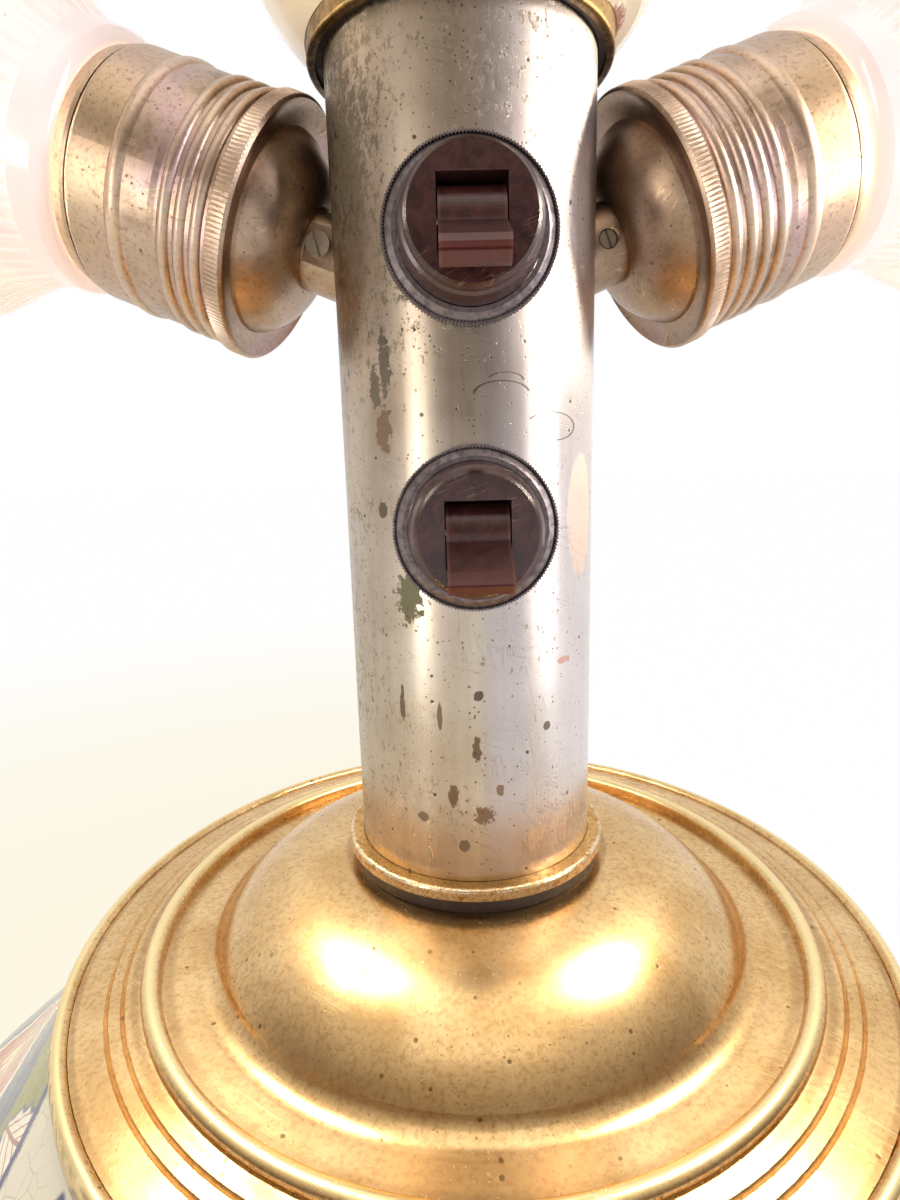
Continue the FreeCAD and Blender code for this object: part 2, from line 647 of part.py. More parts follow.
# ---------------------------------------------------------------- switches (local frame)
def switch_housing():
    """Moulded housing: rear block, flange inside the tube, threaded neck, stepped face, slot."""
    flange_front = math.sqrt(TUBE_IN_R ** 2 - SWITCH_FLANGE_R ** 2) - FLANGE_GAP
    flange_back = flange_front - SWITCH_FLANGE_T
    ledge = SWITCH_FACE - SWITCH_LEDGE
    neck_top = COLUMN_R + SWITCH_NUT_T + 0.6
    outline = [(0, SWITCH_BACK), (SWITCH_BLOCK_R, SWITCH_BACK), (SWITCH_BLOCK_R, flange_back),
               (SWITCH_FLANGE_R, flange_back), (SWITCH_FLANGE_R, flange_front),
               (SWITCH_NECK_R, flange_front), (SWITCH_NECK_R, neck_top),
               (SWITCH_FACE_R + 0.95, ledge), (SWITCH_FACE_R + 0.45, ledge + 0.25),
               (SWITCH_FACE_R + 0.3, SWITCH_FACE - 0.5), (SWITCH_FACE_R - 0.2, SWITCH_FACE),
               (0, SWITCH_FACE)]
    body = revolve(polyline(outline))
    slot = Part.makeBox(SLOT_W, SLOT_H, SWITCH_FACE, V(-SLOT_W / 2, -SLOT_H / 2, SLOT_FLOOR))
    pin_hole = Part.makeCylinder(PIN_R + PIN_FIT, PIN_LEN + 2 * FLAT_GAP,
                                 V(-PIN_LEN / 2 - FLAT_GAP, 0, PIVOT_OUT), V(1, 0, 0))
    body = body.cut(slot).cut(pin_hole)
    for sign in (-1, 1):
        hole = Part.makeCylinder(TERMINAL_SHANK_R + FLAT_GAP, TERMINAL_SHANK + 0.4,
                                 V(sign * TERMINAL_SPACING / 2, 0, SWITCH_BACK))
        body = body.cut(hole)
    return body


def switch_nut():
    """Round knurled nut that clamps the switch to the tube; front edge bevelled."""
    low = COLUMN_R + FLAT_GAP
    high = low + SWITCH_NUT_T
    bore = SWITCH_NECK_R + ROUND_GAP
    outline = [(bore, low), (SWITCH_NUT_R - 0.3, low), (SWITCH_NUT_R, low + 0.3),
               (SWITCH_NUT_R, high - 0.9), (SWITCH_NUT_R - 0.3, high - 0.7),
               (SWITCH_NUT_R - 1.4, high), (bore, high)]
    return revolve(polyline(outline))


def switch_lever():
    """Paddle lever on its pin, with a bevelled two-facet tip, tilted down."""
    width = SLOT_W - 2 * LEVER_SIDE_GAP
    reach = LEVER_REACH
    side = [(-1.45, 0.5), (-1.5, 4.0), (-1.95, reach - 0.9), (-1.2, reach - 0.1),
            (0.25, reach), (0.45, reach - 0.25), (0.7, reach), (1.35, reach - 0.35),
            (1.95, reach - 1.3), (1.5, 4.0), (1.45, 0.5)]
    corners = [V(-width / 2, y, z) for y, z in side]
    paddle = Part.Face(Part.makePolygon(corners + corners[:1])).extrude(V(width, 0, 0))
    hub = Part.makeCylinder(LEVER_HUB_R, width, V(-width / 2, 0, 0), V(1, 0, 0))
    tail = Part.makeBox(width * 0.5, LEVER_TAIL_T, LEVER_TAIL,
                        V(-width * 0.25, -LEVER_TAIL_T / 2, -LEVER_TAIL))
    bore = Part.makeCylinder(PIN_R + RUN_GAP, width + 2, V(-width / 2 - 1, 0, 0), V(1, 0, 0))
    lever = paddle.fuse(hub).fuse(tail).removeSplitter().cut(bore)
    lever.rotate(V(0, 0, 0), V(1, 0, 0), LEVER_TILT)
    lever.translate(V(0, 0, PIVOT_OUT))
    return lever


def switch_pin():
    return Part.makeCylinder(PIN_R, PIN_LEN, V(-PIN_LEN / 2, 0, PIVOT_OUT), V(1, 0, 0))


def switch_blade():
    """Springy contact blade on the slot's floor, its ends turned up."""
    width = SLOT_W * 0.6
    length = SLOT_H - 0.6
    low = SLOT_FLOOR + FLAT_GAP
    floor = Part.makeBox(width, length, BLADE_T, V(-width / 2, -length / 2, low))
    blade = floor
    for start in (-length / 2, length / 2 - BLADE_T):
        blade = blade.fuse(Part.makeBox(width, BLADE_T, BLADE_UPTURN, V(-width / 2, start, low)))
    return blade.removeSplitter()


def terminal_screw(x):
    """Slotted terminal screw on the housing's back."""
    shank = Part.makeCylinder(TERMINAL_SHANK_R, TERMINAL_SHANK, V(x, 0, SWITCH_BACK))
    head = Part.makeCylinder(TERMINAL_R, TERMINAL_HEAD, V(x, 0, SWITCH_BACK - TERMINAL_HEAD))
    slot = Part.makeBox(2 * TERMINAL_R, 0.5, 0.5, V(x - TERMINAL_R, -0.25, SWITCH_BACK - TERMINAL_HEAD))
    return head.fuse(shank).cut(slot)


def switch_terminals():
    return Part.makeCompound([terminal_screw(sign * TERMINAL_SPACING / 2) for sign in (-1, 1)])


# ---------------------------------------------------------------- lamp-holders (local frame)
def arm_nipple():
    return disc(NIPPLE_R, NIPPLE_START, NOZZLE_END + NIPPLE_PAST, NIPPLE_BORE_R)


def arm_nut():
    return hexagon(ARM_NUT_AF, ARM_NUT_FACE - ARM_NUT_T, ARM_NUT_FACE, NIPPLE_R + ROUND_GAP)


def column_solid_for(side):
    """The tube's outside as a solid, in the arm's own frame."""
    column = Part.makeCylinder(COLUMN_R + FLAT_GAP, 200.0, V(0, 0, ARM_Z - 100))
    return placed(column, arm_frame(side).inverse())


def set_screw_hole():
    return Part.makeCylinder(SET_SCREW_R + ROUND_GAP, 2 * NOZZLE_R, V(0, 0, SET_SCREW_AT), V(1, 0, 0))


def holder_nozzle(side):
    """Turned nozzle, saddle-cut to the tube, riveted into the stamped cap."""
    bore = NIPPLE_R + ROUND_GAP
    rivet = NOZZLE_END + HOLDER_WALL + FLAT_GAP
    start = COLUMN_R - NOZZLE_ROOT
    lip_r = NOZZLE_RIVET_R + RIVET_LIP
    rivet_end = rivet + RIVET_LIP_T
    outline = [(bore, start), (NOZZLE_R, start), (NOZZLE_R, NOZZLE_END),
               (NOZZLE_RIVET_R, NOZZLE_END), (NOZZLE_RIVET_R, rivet), (lip_r, rivet),
               (lip_r - 0.3, rivet_end), (bore, rivet_end)]
    nozzle = revolve(polyline(outline)).cut(column_solid_for(side)).cut(set_screw_hole())
    if side == "left":
        flat = Part.makeBox(NOZZLE_R, 2 * NOZZLE_R, NOZZLE_END - 0.3, V(NOZZLE_FLAT, -NOZZLE_R, 0))
        return nozzle.cut(flat)
    mouth = Part.makeCone(SET_SCREW_R, SET_SCREW_R + 0.6, 0.6,
                          V(NOZZLE_R - 0.45, 0, SET_SCREW_AT), V(1, 0, 0))
    return nozzle.cut(mouth)


def set_screw(side):
    """Cheese-head screw on the left nozzle, sunk grub screw on the right one."""
    tip = NIPPLE_R + 0.15
    if side == "left":
        head_low = NOZZLE_FLAT + FLAT_GAP
        shank = Part.makeCylinder(SET_SCREW_R, head_low - tip, V(tip, 0, SET_SCREW_AT), V(1, 0, 0))
        head = Part.makeCylinder(SET_SCREW_HEAD_R, SET_SCREW_HEAD_H,
                                 V(head_low, 0, SET_SCREW_AT), V(1, 0, 0))
        slot = Part.makeBox(0.6, 2 * SET_SCREW_HEAD_R, 0.6,
                            V(head_low + SET_SCREW_HEAD_H - 0.5, -SET_SCREW_HEAD_R, -0.3))
        slot.rotate(V(0, 0, 0), V(1, 0, 0), 35)
        slot.translate(V(0, 0, SET_SCREW_AT))
        return shank.fuse(head).cut(slot)
    end = NOZZLE_R - SET_SCREW_SUNK
    shank = Part.makeCylinder(SET_SCREW_R, end - tip, V(tip, 0, SET_SCREW_AT), V(1, 0, 0))
    slot = Part.makeBox(0.5, 2 * SET_SCREW_R, 0.5, V(end - 0.5, -SET_SCREW_R, SET_SCREW_AT - 0.25))
    return shank.cut(slot)


def holder_cap():
    """Stamped brass cap: bell-shaped dome, hollow flange and knurled rim."""
    hole = NOZZLE_RIVET_R + FLAT_GAP
    low = NOZZLE_END + FLAT_GAP
    wall = HOLDER_WALL
    band_end = KNURL_T + KNURL_LEN
    dome_w = DOME_STEP_R - NOZZLE_R
    dome = [(NOZZLE_R + 0.6, low)]
    dome += [(NOZZLE_R + across * dome_w, low + along * DOME_DEPTH) for across, along in DOME_FORM]
    dome.append((DOME_STEP_R, DOME_STEP_T))
    inner = inset(dome, wall)
    inner[0] = (NOZZLE_R + 0.4, low + wall)
    inner[-1] = (DOME_STEP_R - wall, CAP_FLANGE_T + wall)
    flange_mid = (0.5 * (DOME_STEP_R + KNURL_R) + 0.3, CAP_FLANGE_T + 0.05)
    edges = [
        line((hole, low), dome[0]),
        curve(dome),
        line(dome[-1], (DOME_STEP_R + 0.25, CAP_FLANGE_T)),
        arc((DOME_STEP_R + 0.25, CAP_FLANGE_T), flange_mid, (KNURL_R - 0.5, KNURL_T)),
        line((KNURL_R - 0.5, KNURL_T), (KNURL_R, KNURL_T + 0.5)),
        line((KNURL_R, KNURL_T + 0.5), (KNURL_R - 0.25, band_end - 0.3)),
        line((KNURL_R - 0.25, band_end - 0.3), (KNURL_R - 0.6, band_end)),
        line((KNURL_R - 0.6, band_end), (RIM_IN_R, band_end)),
        line((RIM_IN_R, band_end), (RIM_IN_R, CAP_FLANGE_T + wall)),
        line((RIM_IN_R, CAP_FLANGE_T + wall), inner[-1]),
        curve(inner[::-1]),
        line(inner[0], (hole, low + wall)),
        line((hole, low + wall), (hole, low)),
    ]
    return revolve(edges)


def holder_shell(side):
    """Stamped shell: spigot, rolled ridges, plain barrel, bead and rounded lip."""
    root = BARREL_R - 0.15
    spigot_r = RIM_IN_R - ROUND_GAP
    spigot_t = SHELL_START - SHELL_SPIGOT
    edges = [line((spigot_r - SHELL_WALL, spigot_t), (spigot_r, spigot_t)),
             line((spigot_r, spigot_t), (spigot_r, SHELL_START))]
    here = (root, SHELL_START)
    edges.append(line((spigot_r, SHELL_START), here))
    for k in range(RIDGES[side]):
        start = SHELL_START + 0.4 + RIDGE_PITCH * k
        end = start + RIDGE_PITCH - 0.7
        edges.append(line(here, (root, start)))
        edges.append(arc((root, start), (root + RIDGE_H, (start + end) / 2), (root, end)))
        here = (root, end)
    half_bead = 0.5 * SHELL_BEAD_W
    bead_low = (BARREL_R, SHELL_BEAD_T - half_bead)
    bead_high = (BARREL_R, SHELL_BEAD_T + half_bead)
    edges.append(line(here, (root, here[1] + 0.5)))
    edges.append(line((root, here[1] + 0.5), (BARREL_R, here[1] + 1.6)))
    edges.append(line((BARREL_R, here[1] + 1.6), bead_low))
    edges.append(arc(bead_low, (BARREL_R + SHELL_BEAD_H, SHELL_BEAD_T), bead_high))
    lip_turn = (BARREL_R, SHELL_LIP_T - LIP_ROUND)
    lip_end = (BARREL_R - LIP_ROUND, SHELL_LIP_T)
    bend = LIP_ROUND * (1 - math.sqrt(0.5))
    edges.append(line(bead_high, lip_turn))
    edges.append(arc(lip_turn, (BARREL_R - bend, SHELL_LIP_T - bend), lip_end))
    inner_r = BARREL_R - SHELL_WALL - 0.05
    edges.append(line(lip_end, (inner_r - 0.2, SHELL_LIP_T)))
    edges.append(line((inner_r - 0.2, SHELL_LIP_T), (inner_r, SHELL_LIP_T - 0.8)))
    edges.append(line((inner_r, SHELL_LIP_T - 0.8), (inner_r, SHELL_START + 0.6)))
    edges.append(line((inner_r, SHELL_START + 0.6), (spigot_r - SHELL_WALL, spigot_t)))
    return revolve(edges)


def holder_insert():
    """Porcelain insert: base with a terminal well and a wall round the thread sleeve."""
    base_top = INSERT_START + INSERT_BASE_T
    wall_in = SLEEVE_R + ROUND_GAP
    outline = [(INSERT_EYELET_R, INSERT_START), (INSERT_R, INSERT_START), (INSERT_R, base_top),
               (INSERT_WALL_R, base_top + 0.8), (INSERT_WALL_R, INSERT_END), (wall_in, INSERT_END),
               (wall_in, base_top), (INSERT_EYELET_R, base_top)]
    insert = revolve(polyline(outline))
    for sign in (-1, 1):
        insert = insert.cut(Part.makeCylinder(INSERT_SCREW_R + ROUND_GAP, INSERT_BASE_T + 2,
                                              V(sign * INSERT_SCREW_AT, 0, INSERT_START - 1)))
    return insert


def insert_terminals():
    """Two terminal screws in the porcelain base."""
    screws = []
    for sign in (-1, 1):
        x = sign * INSERT_SCREW_AT
        head = Part.makeCylinder(INSERT_SCREW_R, 2.0, V(x, 0, INSERT_START + 0.4))
        shank = Part.makeCylinder(INSERT_SCREW_R - 0.5, INSERT_BASE_T - 2.6,
                                  V(x, 0, INSERT_START + 2.4))
        screws.append(head.fuse(shank))
    return Part.makeCompound(screws)


def thread_sleeve():
    """Thin sleeve with the rolled lamp thread, standing on the porcelain base."""
    low = INSERT_START + INSERT_BASE_T + FLAT_GAP
    high = INSERT_END - 0.5
    inner = SLEEVE_R - SLEEVE_WALL
    return disc(SLEEVE_R, low, high, inner)


def centre_contact():
    """Rivet and bent contact strip in the middle of the porcelain base."""
    low = INSERT_START + INSERT_BASE_T + FLAT_GAP
    rivet = Part.makeCylinder(INSERT_EYELET_R - ROUND_GAP, INSERT_BASE_T, V(0, 0, INSERT_START + 0.1))
    strip = Part.makeBox(9.0, 5.0, CONTACT_T, V(-4.5, -2.5, low))
    button = Part.makeCylinder(2.4, BULB_CAP_START - 0.3 - low, V(0, 0, low))
    return rivet.fuse(strip).fuse(button).removeSplitter()


def shade_ring():
    """Retaining ring in the shell's mouth, with a coned outer lip round the glass neck."""
    inner = NECK_R + ROUND_GAP
    spigot_r = BARREL_R - SHELL_WALL - 0.3 - ROUND_GAP
    low = SHELL_LIP_T + FLAT_GAP
    outline = [(inner, low - SHADE_RING_SPIGOT), (spigot_r, low - SHADE_RING_SPIGOT), (spigot_r, low),
               (SHADE_RING_R, low), (SHADE_RING_R, low + 0.7),
               (SHADE_RING_R - 0.6, low + SHADE_RING_LEN), (inner, low + SHADE_RING_LEN)]
    return revolve(polyline(outline))


def shade_outline():
    """Outer outline of the glass from the smooth collar to the flared rim."""
    start = COLLAR_START + 1.6
    end = start + COLLAR_LEN
    belly = SHADE_BELLY_R
    return [(COLLAR_R, start), (COLLAR_R + 0.35, end), (COLLAR_R + 3.8, end + 8.0),
            (belly * 0.76, end + 17.0), (belly * 0.925, end + 26.0), (belly, SHADE_BELLY_T),
            (belly + 0.2, SHADE_BELLY_T + 12.0), (belly + 3.2, SHADE_BELLY_T + 22.0),
            (SHADE_MOUTH_R - 4.0, SHADE_MOUTH_T - 5.5), (SHADE_MOUTH_R, SHADE_MOUTH_T)]


def rib_section(t, radius, depth):
    """Closed outline round the shade at a distance t: a row of rounded bars."""
    bar = ((0.0, 1.0), (0.16, 0.35), (0.5, 0.0), (0.84, 0.35))
    corners = []
    for k in range(RIBS):
        for share, sunk in bar:
            angle = 2 * math.pi * (k + share) / RIBS
            r = radius - depth * sunk
            corners.append(V(r * math.cos(angle), r * math.sin(angle), t))
    return Part.makePolygon(corners + corners[:1])


def ribbed_block():
    """Outside of the ribbed part of the glass, from inside the collar to past the rim."""
    spline = Part.BSplineCurve()
    spline.interpolate([V(r, 0, t) for r, t in shade_outline()[1:]])
    first = spline.FirstParameter
    span = spline.LastParameter - first
    start = spline.value(first)
    sections = [rib_section(start.z - 1.0, start.x - RIB_SHOULDER - 0.1, RIB_DEPTH)]
    for k in range(RIB_STATIONS):
        point = spline.value(first + span * k / (RIB_STATIONS - 1))
        shoulder = RIB_SHOULDER * (1 - k / (RIB_STATIONS - 1))
        depth = RIB_DEPTH * point.x / COLLAR_R
        sections.append(rib_section(point.z, point.x - shoulder, depth))
    return Part.makeLoft(sections, True, True)


def tulip_shade():
    """Pressed opal glass tulip: neck, smooth collar, ribbed belly, flared and petalled rim."""
    outer = shade_outline()
    inner = inset(outer, SHADE_WALL)
    neck_low = INSERT_END + NECK_SEAT_GAP
    neck_in = NECK_R - SHADE_WALL + 0.4
    shoulder = (NECK_R, COLLAR_START - 0.6)
    collar_end = outer[1]
    neck = revolve([
        line((0, neck_low), (NECK_R, neck_low)),
        line((NECK_R, neck_low), shoulder),
        curve([shoulder, (NECK_R + 1.5, COLLAR_START + 0.3), outer[0]]),
        line(outer[0], (collar_end[0], collar_end[1] - 0.6)),
        line((collar_end[0], collar_end[1] - 0.6), (collar_end[0] - 0.6, collar_end[1])),
        line((collar_end[0] - 0.6, collar_end[1]), (0, collar_end[1])),
        line((0, collar_end[1]), (0, neck_low)),
    ])
    past = (inner[-1][0] + 4.0, inner[-1][1] + 8.0)
    cavity = revolve([
        line((0, neck_low - 1.0), (neck_in, neck_low - 1.0)),
        line((neck_in, neck_low - 1.0), (neck_in, COLLAR_START - 1.0)),
        line((neck_in, COLLAR_START - 1.0), inner[0]),
        curve(inner),
        line(inner[-1], past),
        line(past, (0, past[1])),
        line((0, past[1]), (0, neck_low - 1.0)),
    ])
    return neck.fuse(ribbed_block()).cut(cavity).common(petal_block())


def petal_block():
    """Block whose upper edge is a row of round lobes, one for each petal."""
    half_width = SHADE_MOUTH_R * math.sin(math.pi / PETALS)
    valley = SHADE_MOUTH_T - PETAL_R + math.sqrt(PETAL_R ** 2 - half_width ** 2)
    block = Part.makeCylinder(SHADE_MOUTH_R + 5.0, valley - 1.0)
    for k in range(PETALS):
        angle = 2 * math.pi * k / PETALS
        across = V(math.cos(angle), math.sin(angle), 0)
        lobe = Part.makeCylinder(PETAL_R, SHADE_MOUTH_R + 5.0, V(0, 0, SHADE_MOUTH_T - PETAL_R), across)
        block = block.fuse(lobe)
    return block


def bulb_glass():
    """Hollow globe on a short neck."""
    neck_t = BULB_CAP_END - BULB_CAP_GRIP
    join = BULB_CENTRE_T - math.sqrt(BULB_R ** 2 - (BULB_NECK_R + 1.4) ** 2)
    bend = [(BULB_NECK_R, neck_t), (BULB_NECK_R + 0.1, join - 3.5), (BULB_NECK_R + 1.4, join)]
    inner_r = BULB_R - BULB_WALL
    neck_in = BULB_NECK_R - BULB_WALL
    inner_join = BULB_CENTRE_T - math.sqrt(inner_r ** 2 - (neck_in + 1.4) ** 2)
    inner_bend = [(neck_in, neck_t), (neck_in + 0.1, inner_join - 3.5), (neck_in + 1.4, inner_join)]
    edges = [
        line((neck_in, neck_t), (BULB_NECK_R, neck_t)),
        curve(bend),
        arc(bend[-1], (BULB_R, BULB_CENTRE_T), (0, BULB_CENTRE_T + BULB_R)),
        line((0, BULB_CENTRE_T + BULB_R), (0, BULB_CENTRE_T + inner_r)),
        arc((0, BULB_CENTRE_T + inner_r), (inner_r, BULB_CENTRE_T), inner_bend[-1]),
        curve(inner_bend[::-1]),
    ]
    return revolve(edges)


def bulb_cap():
    """Screw cap of the bulb: shell to the thread's crests, insulator cone and tip."""
    root = BULB_CAP_R - 0.8
    start = BULB_CAP_START + 3.4
    seat_r = BULB_NECK_R + ROUND_GAP
    recess = BULB_CAP_END - BULB_CAP_GRIP - FLAT_GAP
    outline = [(0, BULB_CAP_START), (3.6, BULB_CAP_START), (4.6, BULB_CAP_START + 1.0), (root, start),
               (BULB_CAP_R, start + 1.2), (BULB_CAP_R, BULB_CAP_END - 1.0),
               (BULB_CAP_R - 0.2, BULB_CAP_END), (seat_r, BULB_CAP_END), (seat_r, recess), (0, recess)]
    return revolve(polyline(outline))


# ---------------------------------------------------------------- assembly
def build_base():
    save("felt_pad", felt_pad())
    save("vase_body", vase_body())
    save("cord_bush", cord_bush())
    save("foot_washer", foot_washer())
    save("foot_nut", foot_nut())
    save("centre_rod", centre_rod())
    save("vase_cap", vase_cap())


def build_column():
    save("column_gasket", column_gasket())
    save("column_lower_ring", column_lower_ring())
    save("column_tube", column_tube())
    save("column_lower_collar", column_collar(SEAT_Z + FLAT_GAP, SEAT_Z + COLLAR_T))
    save("column_upper_collar", column_collar(TUBE_TOP_Z - COLLAR_T, TUBE_TOP_Z))
    save("column_upper_ring", column_upper_ring())
    save("column_upper_gasket", column_upper_gasket())
    save("top_ball", top_ball())
    save("finial_washer", finial_washer())
    save("finial", finial())


def build_switch(name, height):
    place = switch_frame(height)
    save(name + "_switch_housing", placed(switch_housing(), place))
    save(name + "_switch_nut", placed(switch_nut(), place))
    save(name + "_switch_lever", placed(switch_lever(), place))
    save(name + "_switch_pin", placed(switch_pin(), place))
    save(name + "_switch_blade", placed(switch_blade(), place))
    save(name + "_switch_terminals", placed(switch_terminals(), place))


def build_holder(side, shade):
    place = arm_frame(side)
    save(side + "_nipple", placed(arm_nipple(), place))
    save(side + "_nipple_nut", placed(arm_nut(), place))
    save(side + "_nozzle", placed(holder_nozzle(side), place))
    save(side + "_set_screw", placed(set_screw(side), place))
    save(side + "_holder_cap", placed(holder_cap(), place))
    save(side + "_holder_shell", placed(holder_shell(side), place))
    save(side + "_porcelain", placed(holder_insert(), place))
    save(side + "_terminals", placed(insert_terminals(), place))
    save(side + "_thread_sleeve", placed(thread_sleeve(), place))
    save(side + "_centre_contact", placed(centre_contact(), place))
    save(side + "_shade_ring", placed(shade_ring(), place))
    save(side + "_tulip_shade", placed(shade, place))
    save(side + "_bulb_glass", placed(bulb_glass(), place))
    save(side + "_bulb_cap", placed(bulb_cap(), place))


os.makedirs("parts", exist_ok=True)
build_base()
build_column()
for switch_name, switch_height in zip(("upper", "lower"), SWITCH_UP):
    build_switch(switch_name, switch_height)
glass = tulip_shade()
for arm_side in ("left", "right"):
    build_holder(arm_side, glass)
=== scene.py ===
import math
import bpy
from mathutils import Matrix, Vector


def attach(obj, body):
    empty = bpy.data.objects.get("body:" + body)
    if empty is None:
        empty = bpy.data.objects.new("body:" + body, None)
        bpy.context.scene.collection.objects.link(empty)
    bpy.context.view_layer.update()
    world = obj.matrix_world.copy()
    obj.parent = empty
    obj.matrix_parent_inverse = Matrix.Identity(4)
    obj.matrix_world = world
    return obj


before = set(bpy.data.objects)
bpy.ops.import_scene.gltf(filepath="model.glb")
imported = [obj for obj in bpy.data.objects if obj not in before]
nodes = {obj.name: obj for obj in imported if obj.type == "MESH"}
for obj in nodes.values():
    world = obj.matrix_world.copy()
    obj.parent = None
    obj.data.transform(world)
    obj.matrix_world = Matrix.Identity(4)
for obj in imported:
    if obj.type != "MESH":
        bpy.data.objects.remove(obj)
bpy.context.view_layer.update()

# ------------------------------------------------------------------ camera
# A hand-held wide camera close in front of the column, a little left of it and just under
# the lamp-holders, looking slightly down on the brass cap and tipped by a degree and a half.
yaw, pitch, roll = math.radians(0.604), math.radians(11.426), math.radians(-1.502)
ahead = Vector((math.sin(yaw) * math.cos(pitch), math.cos(yaw) * math.cos(pitch), -math.sin(pitch)))
level = Vector((math.cos(yaw), -math.sin(yaw), 0.0))
over = level.cross(ahead)
sideways = level * math.cos(roll) + over * math.sin(roll)
upward = over * math.cos(roll) - level * math.sin(roll)
lens = bpy.data.cameras.new("near_view")
lens.lens = 21.125
lens.sensor_width = 36.0
lens.clip_start = 0.001
near_view = bpy.data.objects.new("near_view", lens)
near_view.matrix_world = Matrix((
    (sideways.x, upward.x, -ahead.x, -0.005372),
    (sideways.y, upward.y, -ahead.y, -0.132421),
    (sideways.z, upward.z, -ahead.z, 0.341149),
    (0.0, 0.0, 0.0, 1.0)))
bpy.context.scene.collection.objects.link(near_view)
bpy.context.scene.camera = near_view
bpy.context.scene.view_settings.view_transform = "Standard"


# ------------------------------------------------------------------ table, room and lamps
# The lamp stands on a plain pale table top in a white room. The room is bright behind the
# lamp and dim and warm in front of it, which is what the plated and spun metal mirrors.
def add(tree, kind, wires=None, **settings):
    """One node, with its settings, and its inputs wired to a socket or set to a value."""
    node = tree.nodes.new(kind)
    for key, value in settings.items():
        setattr(node, key, value)
    for slot, value in (wires or {}).items():
        if isinstance(value, Measure):
            value = value.socket
        if isinstance(value, bpy.types.NodeSocket):
            tree.links.new(value, node.inputs[slot])
        else:
            node.inputs[slot].default_value = value
    return node


class Measure:
    """A number that a surface works out at each of its points; sums of it become Math nodes."""

    def __init__(self, tree, socket):
        self.tree = tree
        self.socket = socket

    def work(self, operation, *others, first=None):
        values = (self,) + others if first is None else (first, self)
        node = add(self.tree, "ShaderNodeMath", dict(enumerate(values)), operation=operation)
        return Measure(self.tree, node.outputs[0])

    def __add__(self, other): return self.work("ADD", other)
    def __radd__(self, other): return self.work("ADD", other)
    def __sub__(self, other): return self.work("SUBTRACT", other)
    def __rsub__(self, other): return self.work("SUBTRACT", first=other)
    def __mul__(self, other): return self.work("MULTIPLY", other)
    def __rmul__(self, other): return self.work("MULTIPLY", other)
    def __truediv__(self, other): return self.work("DIVIDE", other)
    def __pow__(self, other): return self.work("POWER", other)
    def size(self): return self.work("ABSOLUTE")
    def root(self): return self.work("SQRT")
    def sine(self): return self.work("SINE")
    def cosine(self): return self.work("COSINE")
    def least(self, other): return self.work("MINIMUM", other)
    def most(self, other): return self.work("MAXIMUM", other)
    def wrapped(self, low, high): return self.work("WRAP", high, low)
    def turn_from(self, other): return self.work("ARCTAN2", other)

    def rise(self, start, end, low=0.0, high=1.0):
        """Smooth step from low at start to high at end."""
        node = add(self.tree, "ShaderNodeMapRange",
                   {"Value": self, "From Min": start, "From Max": end, "To Min": low, "To Max": high},
                   interpolation_type="SMOOTHSTEP")
        return Measure(self.tree, node.outputs[0])


def tone(red, green, blue):
    """Screen colour from 0 to 255 as the linear colour that a shader takes."""
    parts = [c / 255.0 for c in (red, green, blue)]
    return tuple(c / 12.92 if c < 0.04 else ((c + 0.055) / 1.055) ** 2.4 for c in parts) + (1.0,)


def mixed(tree, share, below, above):
    """Colour that goes from below to above as the share goes from 0 to 1."""
    node = add(tree, "ShaderNodeMix", {0: share, 6: below, 7: above}, data_type="RGBA")
    return node.outputs[2]


def point_of(tree):
    """The place on the surface, in millimetres."""
    spot = add(tree, "ShaderNodeTexCoord").outputs["Object"]
    return add(tree, "ShaderNodeVectorMath", {0: spot, "Scale": 1000.0}, operation="SCALE").outputs[0]


def parts_of(tree, vector):
    split = add(tree, "ShaderNodeSeparateXYZ", {0: vector})
    return [Measure(tree, out) for out in split.outputs]


def clouds(tree, vector, size, detail=3.0, rough=0.55, stretch=(1.0, 1.0, 1.0), warp=0.0):
    """Cloudy value from 0 to 1 whose lumps are about this size in millimetres."""
    scaled = add(tree, "ShaderNodeMapping", {"Vector": vector, "Scale": stretch}).outputs[0]
    node = add(tree, "ShaderNodeTexNoise", {"Vector": scaled, "Scale": 1.0 / size, "Detail": detail,
                                            "Roughness": rough, "Distortion": warp})
    return Measure(tree, node.outputs[0])


def plain_material(name):
    """A material with only its Principled shader and output, ready to be wired."""
    material = bpy.data.materials.new(name)
    material.use_nodes = True
    tree = material.node_tree
    tree.nodes.clear()
    shader = add(tree, "ShaderNodeBsdfPrincipled")
    add(tree, "ShaderNodeOutputMaterial", {"Surface": shader.outputs[0]})
    return material, tree, shader


def flat_sheet(name, half, height):
    """A square sheet that lies level at a height."""
    mesh = bpy.data.meshes.new(name)
    mesh.from_pydata([(-half, -half, height), (half, -half, height), (half, half, height),
                      (-half, half, height)], [], [(0, 1, 2, 3)])
    sheet = bpy.data.objects.new(name, mesh)
    bpy.context.scene.collection.objects.link(sheet)
    return sheet


